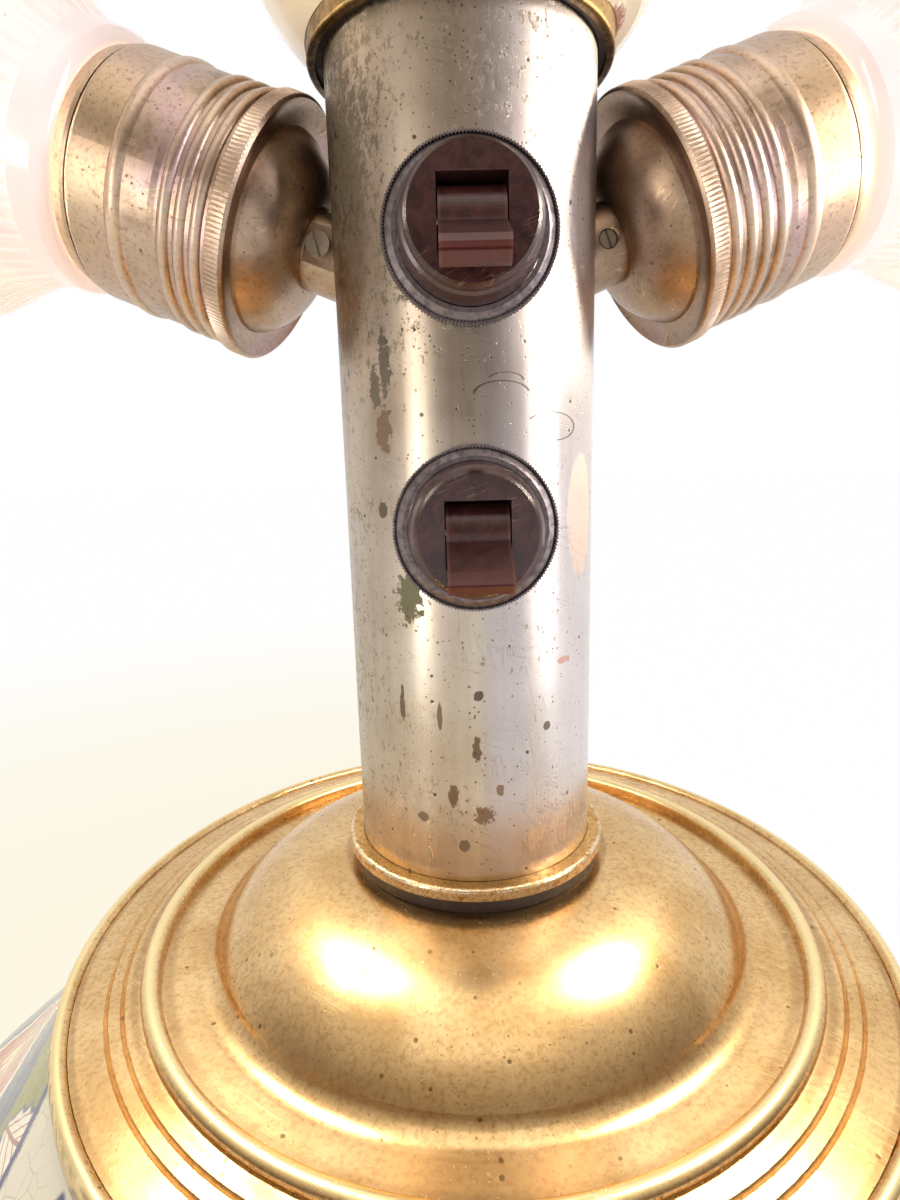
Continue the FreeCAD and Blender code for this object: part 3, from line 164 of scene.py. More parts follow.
table_top = flat_sheet("table_top", 12.0, 0.0)
table_finish, tree, shader = plain_material("pale_table_top")
spot = add(tree, "ShaderNodeTexCoord").outputs["Object"]
x, y, z = parts_of(tree, spot)
away = (x * x + y * y).root()
far = away.rise(0.35, 1.5).most(x.rise(-0.02, 0.16))
cloudy = clouds(tree, spot, 0.15, 2.0)
near_colour = mixed(tree, cloudy, tone(255, 247, 228), tone(255, 250, 236))
shader.inputs["Roughness"].default_value = 0.7
tree.links.new(mixed(tree, far, near_colour, (0.95, 0.95, 0.95, 1.0)), shader.inputs["Base Color"])
bright = mixed(tree, far, tone(255, 249, 229), (1.0, 1.0, 1.0, 1.0))
glow = add(tree, "ShaderNodeEmission", {"Color": bright, "Strength": 1.0}).outputs[0]
path = add(tree, "ShaderNodeLightPath").outputs
seen = Measure(tree, path["Is Camera Ray"]).most(path["Is Glossy Ray"]).most(path["Is Transmission Ray"])
share = seen * (far * 0.07 + 0.92)
blend = add(tree, "ShaderNodeMixShader", {0: share, 1: shader.outputs[0], 2: glow}).outputs[0]
for node in tree.nodes:
    if node.type == "OUTPUT_MATERIAL":
        tree.links.new(blend, node.inputs["Surface"])
table_top.data.materials.append(table_finish)

room = bpy.data.worlds.new("white_room")
bpy.context.scene.world = room
room.use_nodes = True
tree = room.node_tree
tree.nodes.clear()
direction = add(tree, "ShaderNodeTexCoord").outputs["Generated"]
x, y, z = parts_of(tree, direction)
behind = y.rise(-0.35, 0.45)
above = z.rise(0.15, 0.85)
front_wall = mixed(tree, above, tone(126, 110, 98), tone(226, 216, 202))
mirrored = mixed(tree, behind, front_wall, (0.94, 0.92, 0.90, 1.0))
path = add(tree, "ShaderNodeLightPath").outputs
mirror_ray = Measure(tree, path["Is Glossy Ray"]).most(path["Is Transmission Ray"])
lit = mixed(tree, mirror_ray, (0.50, 0.48, 0.45, 1.0), mirrored)
wall = mixed(tree, path["Is Camera Ray"], lit, (1.0, 1.0, 1.0, 1.0))
sky = add(tree, "ShaderNodeBackground", {"Color": wall, "Strength": 1.0})
add(tree, "ShaderNodeOutputWorld", {"Surface": sky.outputs[0]})


def soft_lamp(name, place, aim, wide, tall, power, colour):
    """A tall soft box that faces a point of the lamp."""
    light = bpy.data.lights.new(name, "AREA")
    light.shape = "RECTANGLE"
    light.size = wide
    light.size_y = tall
    light.energy = power
    light.color = colour
    lamp = bpy.data.objects.new(name, light)
    lamp.location = place
    lamp.rotation_euler = (Vector(aim) - Vector(place)).to_track_quat("-Z", "Y").to_euler()
    bpy.context.scene.collection.objects.link(lamp)
    return lamp


COLUMN_MIDDLE = (0.0, 0.0, 0.33)
left_softbox = soft_lamp("left_softbox", (-0.80, -0.75, 0.36), COLUMN_MIDDLE, 0.14, 0.8, 3.2,
                         (1.0, 0.96, 0.88))
right_softbox = soft_lamp("right_softbox", (1.02, -0.44, 0.52), COLUMN_MIDDLE, 0.26, 1.1, 7.4,
                          (0.97, 0.95, 1.0))
soft_lamp("high_softbox", (0.0, -0.35, 1.35), (0.0, 0.25, 0.2), 0.9, 0.9, 2.0, (1.0, 0.97, 0.92))

# The tall boxes draw the streaks on the column. They leave out the cap, on which they would
# show as two highlights more than the real one has.
shaded = bpy.data.collections.new("cap_in_its_own_light")
shaded.objects.link(nodes["vase_cap"])
for softbox in (left_softbox, right_softbox):
    softbox.light_linking.receiver_collection = shaded
for link in shaded.collection_objects:
    link.light_linking.link_state = "EXCLUDE"


# ------------------------------------------------------------------ shared surface effects
# Age marks that more than one finish of the lamp shows: casting pits, hair scratches, stains
# with ragged edges, and the turning of a place into an angle, a radius and a height.
def surface_group(name, inputs, outputs):
    group = bpy.data.node_groups.new(name, "ShaderNodeTree")
    for label, kind, value in inputs:
        socket = group.interface.new_socket(label, in_out="INPUT", socket_type="NodeSocket" + kind)
        if value is not None:
            socket.default_value = value
    for label, kind in outputs:
        group.interface.new_socket(label, in_out="OUTPUT", socket_type="NodeSocket" + kind)
    source = group.nodes.new("NodeGroupInput")
    sink = group.nodes.new("NodeGroupOutput")
    return group, source.outputs, sink.inputs


def place_group(tree, group, **wires):
    """The group's first result in a material, with its inputs given by name."""
    named = {key.replace("_", " ").capitalize(): value for key, value in wires.items()}
    node = add(tree, "ShaderNodeGroup", None, node_tree=group)
    for label, value in named.items():
        if isinstance(value, Measure):
            value = value.socket
        if isinstance(value, bpy.types.NodeSocket):
            tree.links.new(value, node.inputs[label])
        else:
            node.inputs[label].default_value = value
    return [Measure(tree, out) for out in node.outputs]


round_place, source, sink = surface_group(
    "round_place", [("Place", "Vector", None)],
    [("Around", "Float"), ("Out", "Float"), ("Up", "Float")])
x, y, z = parts_of(round_place, source["Place"])
around = x.turn_from(y * -1.0) * (180.0 / math.pi)
for result, socket in ((around, sink["Around"]), ((x * x + y * y).root(), sink["Out"]), (z, sink["Up"])):
    round_place.links.new(result.socket, socket)

fine_pits, source, sink = surface_group(
    "fine_pits", [("Place", "Vector", None), ("Spacing", "Float", 1.0), ("Share", "Float", 0.5),
                  ("Width", "Float", 0.25)],
    [("Pits", "Float")])
per = Measure(fine_pits, source["Spacing"]) ** -1.0
cells = add(fine_pits, "ShaderNodeTexVoronoi", {"Vector": source["Place"], "Scale": per.socket})
chance = parts_of(fine_pits, cells.outputs["Color"])
kept = (chance[0] - source["Share"]).rise(0.02, -0.02)
reach = (chance[1] * 0.7 + 0.3) * source["Width"]
depth = (Measure(fine_pits, cells.outputs["Distance"]) / reach).rise(1.1, 0.6)
fine_pits.links.new((depth * kept).socket, sink["Pits"])

hair_lines, source, sink = surface_group(
    "hair_lines", [("Place", "Vector", None), ("Turn", "Vector", (0.0, 0.0, 0.0)),
                   ("Length", "Float", 20.0), ("Pitch", "Float", 1.5), ("Share", "Float", 0.4)],
    [("Lines", "Float")])
turned = add(hair_lines, "ShaderNodeVectorRotate", {"Vector": source["Place"], "Rotation": source["Turn"]},
             rotation_type="EULER_XYZ").outputs[0]
x, y, z = parts_of(hair_lines, turned)
long_way = add(hair_lines, "ShaderNodeCombineXYZ",
               {0: x / source["Length"], 1: y / source["Pitch"], 2: z / source["Length"]}).outputs[0]
wander = Measure(hair_lines, add(hair_lines, "ShaderNodeTexNoise",
                                 {"Vector": long_way, "Scale": 1.0, "Detail": 2.0}).outputs[0])
gate = Measure(hair_lines, add(hair_lines, "ShaderNodeTexNoise",
                               {"Vector": turned, "Scale": 0.11, "Detail": 2.0}).outputs[0])
line = (wander - 0.5).size().rise(0.018, 0.004)
open_here = (gate + (Measure(hair_lines, source["Share"]) - 0.5) * 0.6).rise(0.5, 0.56)
hair_lines.links.new((line * open_here).socket, sink["Lines"])

ragged_stain, source, sink = surface_group(
    "ragged_stain", [("Place", "Vector", None), ("Across", "Float", 0.0), ("Along", "Float", 0.0),
                     ("Half width", "Float", 2.0), ("Half height", "Float", 3.0), ("Ragged", "Float", 0.8)],
    [("Stain", "Float")])
wide = Measure(ragged_stain, source["Across"]) / source["Half width"]
tall = Measure(ragged_stain, source["Along"]) / source["Half height"]
torn = clouds(ragged_stain, source["Place"], 1.6, 4.0, 0.7)
reach = (wide * wide + tall * tall).root() + (torn - 0.5) * 2.6 * Measure(ragged_stain, source["Ragged"])
ragged_stain.links.new(reach.rise(1.06, 0.9).socket, sink["Stain"])


def dress(finish, *names):
    """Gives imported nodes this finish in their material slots."""
    for name in names:
        for slot in nodes[name].material_slots:
            slot.material = finish


def bumped(tree, shader, height, depth_mm, strength=1.0):
    """Feeds a height into the shader's normal; the depth is in millimetres."""
    bump = add(tree, "ShaderNodeBump", {"Strength": strength, "Distance": depth_mm / 1000.0,
                                        "Height": height})
    tree.links.new(bump.outputs[0], shader.inputs["Normal"])


def wire(tree, shader, **wires):
    """Wires or sets the shader's inputs, named by the words of their labels."""
    for key, value in wires.items():
        label = key.replace("_", " ").title().replace("Ior", "IOR")
        if isinstance(value, Measure):
            value = value.socket
        if isinstance(value, bpy.types.NodeSocket):
            tree.links.new(value, shader.inputs[label])
        else:
            shader.inputs[label].default_value = value


# ------------------------------------------------------------------ felt under the foot
# A disc of pressed green felt, glued under the foot ring so that the glaze doesn't scratch
# the table. Its fibres lie every way and gather some dust in patches.
felt, tree, shader = plain_material("pressed_felt")
place = point_of(tree)
fibres = clouds(tree, place, 0.35, 5.0, 0.75, warp=2.0)
matted = clouds(tree, place, 9.0, 3.0)
colour = mixed(tree, fibres, tone(44, 52, 34), tone(84, 92, 62))
wire(tree, shader, base_color=mixed(tree, matted.rise(0.5, 0.75) * 0.4, colour, tone(120, 116, 92)),
     roughness=0.95, sheen_weight=0.4, sheen_roughness=0.5)
bumped(tree, shader, fibres, 0.25)
dress(felt, "felt_pad")

# ------------------------------------------------------------------ painted vase
# A thrown earthenware vase under a clear glaze. Its panels are painted by hand: an orange
# flower in a dark blue scalloped band, white veined leaves on olive, and plain cream between.
majolica, tree, shader = plain_material("painted_majolica")
place = point_of(tree)
around, out, up = place_group(tree, round_place, place=place)
shake = clouds(tree, place, 7.0, 2.0) - 0.5
PANELS = 4
PANEL_AXIS = -94.5
LIP = (78.0, 243.5)
share_angle = (around - PANEL_AXIS).wrapped(-180.0 / PANELS, 180.0 / PANELS)
side_mm = share_angle * (math.pi / 180.0) * out + shake * 1.6
down = ((out - LIP[0]) * (out - LIP[0]) + (LIP[1] - up) * (LIP[1] - up)).root() + shake * 1.2


def flower_place(side, along, centre):
    """Distance and direction from a flower's centre."""
    drop = along - centre
    return (side * side + drop * drop).root(), side.turn_from(drop)


def inside(distance, edge, soft=0.5):
    """1 inside the edge, 0 outside; the brush leaves half a millimetre of softness."""
    return (distance - edge).rise(soft, -soft)


glaze_tone = clouds(tree, place, 16.0, 4.0)
cream = mixed(tree, glaze_tone, tone(222, 212, 186), tone(236, 228, 206))
olive = mixed(tree, clouds(tree, place, 5.0, 4.0, 0.65), tone(112, 116, 52), tone(168, 164, 88))
navy = mixed(tree, clouds(tree, place, 4.0, 4.0, 0.7), tone(42, 46, 84), tone(96, 98, 132))
orange = mixed(tree, clouds(tree, place, 6.0, 3.0, 0.6), tone(180, 80, 38), tone(208, 112, 62))
rust = tone(158, 74, 52)
straw = tone(248, 230, 158)
white_slip = tone(248, 240, 218)

medallion = ((side_mm / 66.0) ** 2.0 + ((down - 62.0) / 76.0) ** 2.0).root()
field = inside(medallion, 1.0, 0.006)
picture = mixed(tree, field, cream, olive)

rho, theta = flower_place(side_mm, down, 37.7)
leaf_turn = theta.wrapped(-math.pi / 9, math.pi / 9)
leaf_side = leaf_turn * rho
leaf_along = rho - 44.5
leaf_bow = (leaf_along * (math.pi / 25.0)).sine().most(0.0).root() * 6.6
leaf_width = leaf_bow - (leaf_along * 1.05).sine().size() * 1.1
leaf_body = inside(leaf_side.size(), leaf_width) * leaf_along.rise(0.0, 1.0) * leaf_along.rise(25.0, 24.0)
leaf_rim = inside(leaf_side.size(), leaf_width + 0.9)
leaf_rim = leaf_rim * leaf_along.rise(-0.6, 0.2) * leaf_along.rise(26.0, 25.0)
veins = ((leaf_along - leaf_side.size() * 1.3) * 2.1).sine().rise(0.80, 0.96)
midrib = leaf_side.size().rise(0.55, 0.25)
picture = mixed(tree, leaf_rim * field, picture, navy)
picture = mixed(tree, leaf_body * field, picture, white_slip)
picture = mixed(tree, leaf_body * veins.most(midrib) * field * 0.85, picture, rust)

low_rho, low_theta = flower_place(side_mm, down, 108.0)
low_edge = (low_theta * 2.5).cosine().size() * 4.0 + 12.0
picture = mixed(tree, inside(low_rho, low_edge + 4.6), picture, navy)
picture = mixed(tree, inside(low_rho, low_edge + 2.6), picture, white_slip)
picture = mixed(tree, inside(low_rho, low_edge), picture, mixed(tree, low_rho.rise(4.0, 15.0), orange, navy))
picture = mixed(tree, inside(low_rho, 4.2), picture, straw)

lobes = (theta * 3.0 + 0.5).cosine().size()
orange_edge = lobes * 4.5 + 22.5
picture = mixed(tree, inside(rho, lobes * 3.5 + 39.0), picture, navy)
picture = mixed(tree, inside(rho, orange_edge + 2.6), picture, white_slip)
picture = mixed(tree, inside(rho, orange_edge), picture, orange)
lobe_seam = lobes.rise(0.16, 0.02) * inside(rho, orange_edge) * rho.rise(14.0, 20.0)
picture = mixed(tree, lobe_seam * 0.6, picture, rust)
petals = (theta * 4.0).cosine().size()
picture = mixed(tree, inside(rho, petals * 8.6 + 3.4), picture, straw)
picture = mixed(tree, inside(rho, 3.1), picture, tone(122, 62, 30))
picture = mixed(tree, inside((rho - 1.8).size(), 0.35), picture, straw)

rim_line = inside((medallion - 0.985).size(), 0.011, 0.004)
picture = mixed(tree, rim_line, picture, navy)

gap_turn = (around - PANEL_AXIS + 180.0 / PANELS).wrapped(-180.0 / PANELS, 180.0 / PANELS)
gap_side = (gap_turn * (math.pi / 180.0) * out + shake * 1.2).size()
spray = ((down - 2.0) * (math.pi / 62.0)).sine().most(0.0) * 7.5
spray_here = down.rise(2.0, 3.0) * down.rise(64.0, 63.0)
picture = mixed(tree, inside((gap_side - spray).size(), 0.55) * spray_here, picture, navy)
picture = mixed(tree, inside(gap_side, 0.45) * spray_here, picture, navy)
barbs = ((down - gap_side * 1.1) * 1.05).sine().rise(0.86, 0.97) * inside(gap_side, spray - 1.2)
picture = mixed(tree, barbs * spray_here, picture, rust)
bud_rho, bud_theta = flower_place(gap_side, down, 84.0)
bud_edge = (bud_theta * 2.5).cosine().size() * 3.0 + 6.0
picture = mixed(tree, inside(bud_rho, bud_edge + 1.3), picture, navy)
picture = mixed(tree, inside(bud_rho, bud_edge), picture, orange)
picture = mixed(tree, inside(bud_rho, 2.6), picture, straw)

band = inside((down - 152.0).size(), 9.0)
scallop_turn = (around - PANEL_AXIS).wrapped(-6.0, 6.0) * (math.pi / 180.0) * out
scallop = inside((scallop_turn * scallop_turn + (down - 146.0) * (down - 146.0)).root(), 9.5)
picture = mixed(tree, band, picture, navy)
picture = mixed(tree, band * scallop, picture, olive)
scallop_eye = (scallop_turn * scallop_turn + (down - 147.0) * (down - 147.0)).root()
picture = mixed(tree, band * inside(scallop_eye, 3.2), picture, white_slip)
picture = mixed(tree, band * inside(scallop_eye, 1.6), picture, rust)
for line_at, half in ((141.5, 0.9), (138.6, 0.4), (163.0, 0.9), (166.2, 0.4), (222.0, 1.3), (226.0, 0.5)):
    picture = mixed(tree, inside((down - line_at).size(), half, 0.3), picture, navy)
tongue_turn = ((around - PANEL_AXIS).wrapped(-7.5, 7.5) * (math.pi / 180.0) * out).size()
tongue_along = down - 170.0
tongue_edge = (tongue_along * (math.pi / 96.0)).sine().most(0.0) * 7.2
tongue_here = tongue_along.rise(0.0, 1.0) * tongue_along.rise(48.0, 47.0)
picture = mixed(tree, inside((tongue_turn - tongue_edge).size(), 0.6) * tongue_here, picture, navy)
picture = mixed(tree, inside(tongue_turn, tongue_edge - 2.0) * tongue_here, picture, olive)

craze = add(tree, "ShaderNodeTexVoronoi", {"Vector": place, "Scale": 0.24},
            feature="DISTANCE_TO_EDGE").outputs["Distance"]
cracks = Measure(tree, craze).rise(0.022, 0.006) * clouds(tree, place, 22.0).rise(0.42, 0.6)
picture = mixed(tree, cracks * 0.3, picture, tone(150, 120, 86))
pits, = place_group(tree, fine_pits, place=place, spacing=4.5, share=0.25, width=0.12)
picture = mixed(tree, pits * 0.7, picture, tone(110, 78, 52))
brush = clouds(tree, place, 1.4, 3.0)
wire(tree, shader, base_color=picture, roughness=brush.rise(0.3, 0.8, 0.10, 0.24), coat_weight=0.5,
     coat_roughness=0.06)
bumped(tree, shader, clouds(tree, place, 12.0, 2.0) * 3.0 + brush * 0.15 - cracks * 0.25 - pits, 0.16)
dress(majolica, "vase_body")

# ------------------------------------------------------------------ bush, washer, nut and rod
# The lead goes in through a turned brown bush at the back of the foot. Under the felt a zinc
# washer and nut draw the whole lamp together on one threaded pipe.
brown_plastic, tree, shader = plain_material("brown_bush")
place = point_of(tree)
wire(tree, shader, base_color=mixed(tree, clouds(tree, place, 1.5), tone(40, 26, 20), tone(62, 42, 32)),
     roughness=clouds(tree, place, 0.6).rise(0.3, 0.7, 0.28, 0.42))
bumped(tree, shader, clouds(tree, place, 0.5), 0.02)
dress(brown_plastic, "cord_bush")

zinc, tree, shader = plain_material("dull_zinc")
place = point_of(tree)
spangle = clouds(tree, place, 1.2, 4.0)
wire(tree, shader, base_color=mixed(tree, spangle, tone(150, 150, 148), tone(196, 196, 190)), metallic=1.0,
     roughness=spangle.rise(0.3, 0.7, 0.30, 0.48))
bumped(tree, shader, spangle, 0.03)
dress(zinc, "foot_washer", "foot_nut", "left_nipple_nut", "right_nipple_nut")

pipe_steel, tree, shader = plain_material("threaded_pipe")
place = point_of(tree)
x, y, z = parts_of(tree, place)
thread = (z * (2.0 * math.pi)).sine()
wire(tree, shader, base_color=mixed(tree, clouds(tree, place, 2.0), tone(126, 122, 116), tone(172, 168, 160)),
     metallic=1.0, roughness=thread.rise(-1.0, 1.0, 0.42, 0.30))
bumped(tree, shader, thread, 0.18)
dress(pipe_steel, "centre_rod", "left_nipple", "right_nipple")

# ------------------------------------------------------------------ spun brass cap
# A disc of thin brass, spun over a chuck: seat, dome, cove, bead, grooved band and rolled
# rim. The lacquer has gone patchy, so the metal is mottled brown. The bead and the rim are pale,
# partly rubbed and partly a painted highlight, and the profile's corners carry painted shade.
spun_brass, tree, shader = plain_material("spun_brass")
place = point_of(tree)
around, out, up = place_group(tree, round_place, place=place)
patches = clouds(tree, place, 13.0, 5.0, 0.62)
mottle = clouds(tree, place, 0.95, 5.0, 0.72)
specks, = place_group(tree, fine_pits, place=place, spacing=0.75, share=0.42, width=0.34)
big_specks, = place_group(tree, fine_pits, place=place, spacing=2.3, share=0.16, width=0.22)
ring_place = add(tree, "ShaderNodeCombineXYZ", {0: out, 1: around * 0.012, 2: up * 0.6}).outputs[0]
spinning = clouds(tree, ring_place, 0.32, 4.0, 0.6)
# Partly rubbed wear, partly painted highlight: the bead and the rolled rim are painted pale.
rubbed = (out - 63.4).size().rise(1.5, 0.4).most((out - 78.2).size().rise(1.2, 0.3))
grooved = (out - 68.0).size().rise(0.55, 0.1).most((out - 70.6).size().rise(0.55, 0.1))
# Painted shade: the corners of the spun profile are painted a darker brown.
corner_shade = (out - 60.6).size().rise(1.8, 0.3).most((out - 66.0).size().rise(1.2, 0.2))
corner_shade = corner_shade.most((out - 25.6).size().rise(1.2, 0.2)).most((out - 75.9).size().rise(0.9, 0.2))
gold = mixed(tree, patches.rise(0.3, 0.7), tone(212, 174, 118), tone(230, 198, 146))
gold = mixed(tree, mottle.rise(0.44, 0.66) * 0.42, gold, tone(150, 106, 62))
gold = mixed(tree, specks * 0.55, gold, tone(112, 74, 40))
gold = mixed(tree, big_specks * 0.7, gold, tone(86, 58, 36))
gold = mixed(tree, corner_shade * 0.35, gold, tone(122, 86, 50))
gold = mixed(tree, grooved * 0.25, gold, tone(150, 120, 84))
gold = mixed(tree, rubbed * mottle.rise(0.9, 0.6) * 0.9, gold, tone(248, 226, 170))
scratch, = place_group(tree, hair_lines, place=place, turn=(0.0, 0.0, 0.6), length=26.0, pitch=1.3,
                       share=0.45)
gold = mixed(tree, scratch * 0.4, gold, tone(240, 214, 160))
wire(tree, shader, base_color=gold, metallic=1.0,
     roughness=(mottle * 0.12 + patches * 0.05 + 0.16 + specks * 0.10 + grooved * 0.1).least(0.8))
bumped(tree, shader, spinning * 0.25 + mottle * 0.1 - specks * 0.35 - big_specks + scratch * 0.2, 0.022)
dress(spun_brass, "vase_cap")

# ------------------------------------------------------------------ gaskets
# Thin rings of dark brown rubber between the column, the cap and the ball. They have gone
# hard, dull and slightly dusty.
gasket, tree, shader = plain_material("old_rubber")
place = point_of(tree)
dust = clouds(tree, place, 1.8, 4.0, 0.7)
wire(tree, shader, base_color=mixed(tree, dust.rise(0.5, 0.8) * 0.5, tone(38, 26, 22), tone(96, 76, 62)),
     roughness=dust.rise(0.3, 0.7, 0.5, 0.8))
bumped(tree, shader, clouds(tree, place, 0.4, 4.0), 0.05)
dress(gasket, "column_gasket", "column_upper_gasket")

# ------------------------------------------------------------------ ferrule rings, collars, finial
# Turned brass. The lower ring is golden with a silvery worn edge, the upper one under the
# ball has gone dull olive; collars and finial are plain turned brass.
ferrule, tree, shader = plain_material("turned_ferrule")
place = point_of(tree)
around, out, up = place_group(tree, round_place, place=place)
grime = clouds(tree, place, 1.1, 5.0, 0.7)
pits, = place_group(tree, fine_pits, place=place, spacing=0.8, share=0.35, width=0.3)
worn = (out - 25.0).rise(-0.7, 0.0) * grime.rise(0.62, 0.42)
brass = mixed(tree, grime.rise(0.4, 0.7), tone(214, 172, 104), tone(150, 108, 60))
brass = mixed(tree, worn * 0.75, brass, tone(236, 226, 206))
brass = mixed(tree, pits * 0.7, brass, tone(84, 58, 34))
wire(tree, shader, base_color=brass, metallic=1.0, roughness=grime.rise(0.3, 0.8, 0.20, 0.46))
bumped(tree, shader, grime * 0.3 - pits, 0.016)
dress(ferrule, "column_lower_ring", "column_lower_collar", "column_upper_collar", "finial_washer", "finial")

olive_ring, tree, shader = plain_material("dull_olive_ring")
place = point_of(tree)
grime = clouds(tree, place, 1.6, 5.0, 0.7)
brass = mixed(tree, grime.rise(0.35, 0.65), tone(128, 104, 66), tone(76, 62, 40))
wire(tree, shader, base_color=brass, metallic=1.0, roughness=grime.rise(0.3, 0.8, 0.30, 0.62))
bumped(tree, shader, grime, 0.04)
dress(olive_ring, "column_upper_ring")

# ------------------------------------------------------------------ plated column
# A drawn tube with satin nickel plate. It is pitted all over, darkest under the ball, has
# brown stains and bare spots where the plate has lifted, and a few hair scratches.
nickel, tree, shader = plain_material("satin_nickel")
place = point_of(tree)
around, out, up = place_group(tree, round_place, place=place)
arc = around * (math.pi / 180.0 * 22.5)
draw = clouds(tree, place, 1.1, 3.0, 0.6, stretch=(1.0, 1.0, 0.03))
wide_draw = clouds(tree, place, 5.0, 2.0, 0.5, stretch=(1.0, 1.0, 0.06))
haze = clouds(tree, place, 14.0, 5.0, 0.6)
grain = clouds(tree, place, 0.7, 5.0, 0.75)
high = up.rise(325.0, 390.0)
# Painted shade on the left of the tube, where the crust is also a little thicker.
left_shade_and_dirt = (arc + 8.0).rise(6.0, -14.0)
pits, = place_group(tree, fine_pits, place=place, spacing=0.8, share=0.3 + high * 0.35, width=0.30)
spots, = place_group(tree, fine_pits, place=place, spacing=2.6, share=0.22 + high * 0.2, width=0.16)
crust_place = add(tree, "ShaderNodeCombineXYZ", {0: arc, 1: up * 0.55, 2: 0.0}).outputs[0]
crust = clouds(tree, crust_place, 1.3, 6.0, 0.8)
crusty = clouds(tree, place, 26.0, 2.0)
crust_mask = (crust + (crusty - 0.5) * 0.4 + left_shade_and_dirt * 0.09 + high * 0.04).rise(0.61, 0.70)
plate = mixed(tree, haze.rise(0.3, 0.7), tone(194, 178, 160), tone(210, 198, 184))
plate = mixed(tree, wide_draw.rise(0.35, 0.7) * 0.4, plate, tone(160, 142, 122))
plate = mixed(tree, high * 0.35, plate, tone(138, 122, 104))
# Painted reflection: the right side of the tube is painted a pale lavender white.
plate = mixed(tree, (arc.rise(4.0, 18.0)) * 0.6, plate, tone(232, 225, 229))
# Painted shade: the left of the tube is painted a darker brown.
plate = mixed(tree, left_shade_and_dirt * 0.3, plate, tone(150, 128, 104))
# Painted reflection: a pale lavender-grey streak just right of the front.
plate = mixed(tree, (arc - 5.0).size().rise(6.0, 1.0) * 0.45, plate, tone(192, 188, 200))
plate = mixed(tree, grain.rise(0.58, 0.75) * 0.5, plate, tone(116, 98, 78))
plate = mixed(tree, pits * 0.75, plate, tone(74, 58, 42))
plate = mixed(tree, spots * 0.85, plate, tone(62, 50, 36))
dirt = crust_mask * 0.75
plate = mixed(tree, dirt, plate, tone(92, 80, 56))
STAINS = (                     # around mm, up mm, half width, half height, ragged, colour
    (-15.0, 345.5, 1.5, 3.4, 0.95, (92, 66, 42)), (-14.4, 355.3, 1.2, 5.0, 0.95, (66, 56, 42)),
    (-16.6, 352.0, 1.2, 3.4, 0.8, (70, 60, 44)), (-11.3, 319.2, 2.4, 4.2, 1.0, (84, 84, 50)),
    (0.1, 302.7, 0.8, 0.9, 0.4, (64, 50, 36)), (-0.4, 293.1, 0.8, 2.3, 0.9, (88, 70, 44)),
    (0.6, 281.3, 1.6, 1.7, 1.0, (108, 78, 48)), (-4.5, 284.9, 0.9, 1.9, 1.0, (96, 70, 44)),
    (-6.5, 299.0, 0.5, 2.6, 0.4, (104, 88, 66)), (16.5, 306.9, 1.9, 0.6, 0.7, (186, 142, 128)),
    (-2.9, 275.7, 0.9, 1.2, 0.5, (80, 60, 40)), (-10.0, 280.5, 1.1, 0.8, 0.9, (96, 80, 56)),
    (-16.0, 333.0, 1.0, 1.3, 0.5, (58, 46, 34)), (12.4, 296.0, 0.8, 0.8, 0.4, (78, 66, 50)),
    (-13.5, 300.0, 0.5, 3.0, 0.9, (84, 70, 48)), (3.5, 286.0, 0.7, 1.2, 0.9, (120, 92, 62)))
bare = None
for stain_arc, stain_up, half_wide, half_tall, ragged, colour in STAINS:
    mask, = place_group(tree, ragged_stain, place=place, across=arc - stain_arc, along=up - stain_up,
                        half_width=half_wide, half_height=half_tall, ragged=ragged)
    plate = mixed(tree, mask * 0.85, plate, tone(*colour))
    bare = mask if bare is None else bare.most(mask)
peach, = place_group(tree, ragged_stain, place=place, across=arc - 21.4, along=up - 331.0,
                     half_width=4.2, half_height=10.5, ragged=0.14)
plate = mixed(tree, peach * 0.75, plate, tone(206, 182, 166))
sheet_place = add(tree, "ShaderNodeCombineXYZ", {0: arc, 1: up, 2: 0.0}).outputs[0]
scratch, = place_group(tree, hair_lines, place=sheet_place, turn=(0.0, 0.0, 0.35), length=14.0, pitch=1.6,
                       share=0.42)
steep, = place_group(tree, hair_lines, place=sheet_place, turn=(0.0, 0.0, 1.4), length=18.0, pitch=1.4,
                     share=0.40)


def arc_scratch(side, along, centre, radius, sweep, width):
    """A thin curved scratch: part of a ring round a centre on the unrolled tube."""
    dx = (side - centre[0])
    dz = (along - centre[1]) * 2.4
    ring = ((dx * dx + dz * dz).root() - radius).size().rise(width, width * 0.3)
    turn = dx.turn_from(dz) * (180.0 / math.pi)
    return ring * (turn - sweep[0]).rise(-2.0, 2.0) * (turn - sweep[1]).rise(2.0, -2.0)


swirl = arc_scratch(arc, up, (13.6, 345.6), 5.2, (-60.0, 170.0), 0.32)
swirl = swirl.most(arc_scratch(arc, up, (4.6, 350.5), 4.4, (-88.0, 80.0), 0.34))
swirl = swirl.most(arc_scratch(arc, up, (5.2, 352.4), 2.8, (-70.0, 88.0), 0.28))
lines = scratch.most(steep).most(swirl)
plate = mixed(tree, scratch.most(steep) * 0.25, plate, tone(112, 98, 84))
plate = mixed(tree, swirl * 0.8, plate, tone(96, 82, 66))
covered = dirt.most(bare * 0.8).most(peach * 0.7)
wire(tree, shader, base_color=plate, metallic=(1.0 - covered * 0.6),
     roughness=(0.20 + haze * 0.10 + draw * 0.06 + pits * 0.2 + covered * 0.3 + high * 0.08).least(0.85),
     anisotropic=0.25)
bumped(tree, shader, draw * 0.25 + grain * 0.2 - pits * 0.6 - spots + crust_mask * 0.5 - lines * 0.12, 0.03)
dress(nickel, "column_tube")

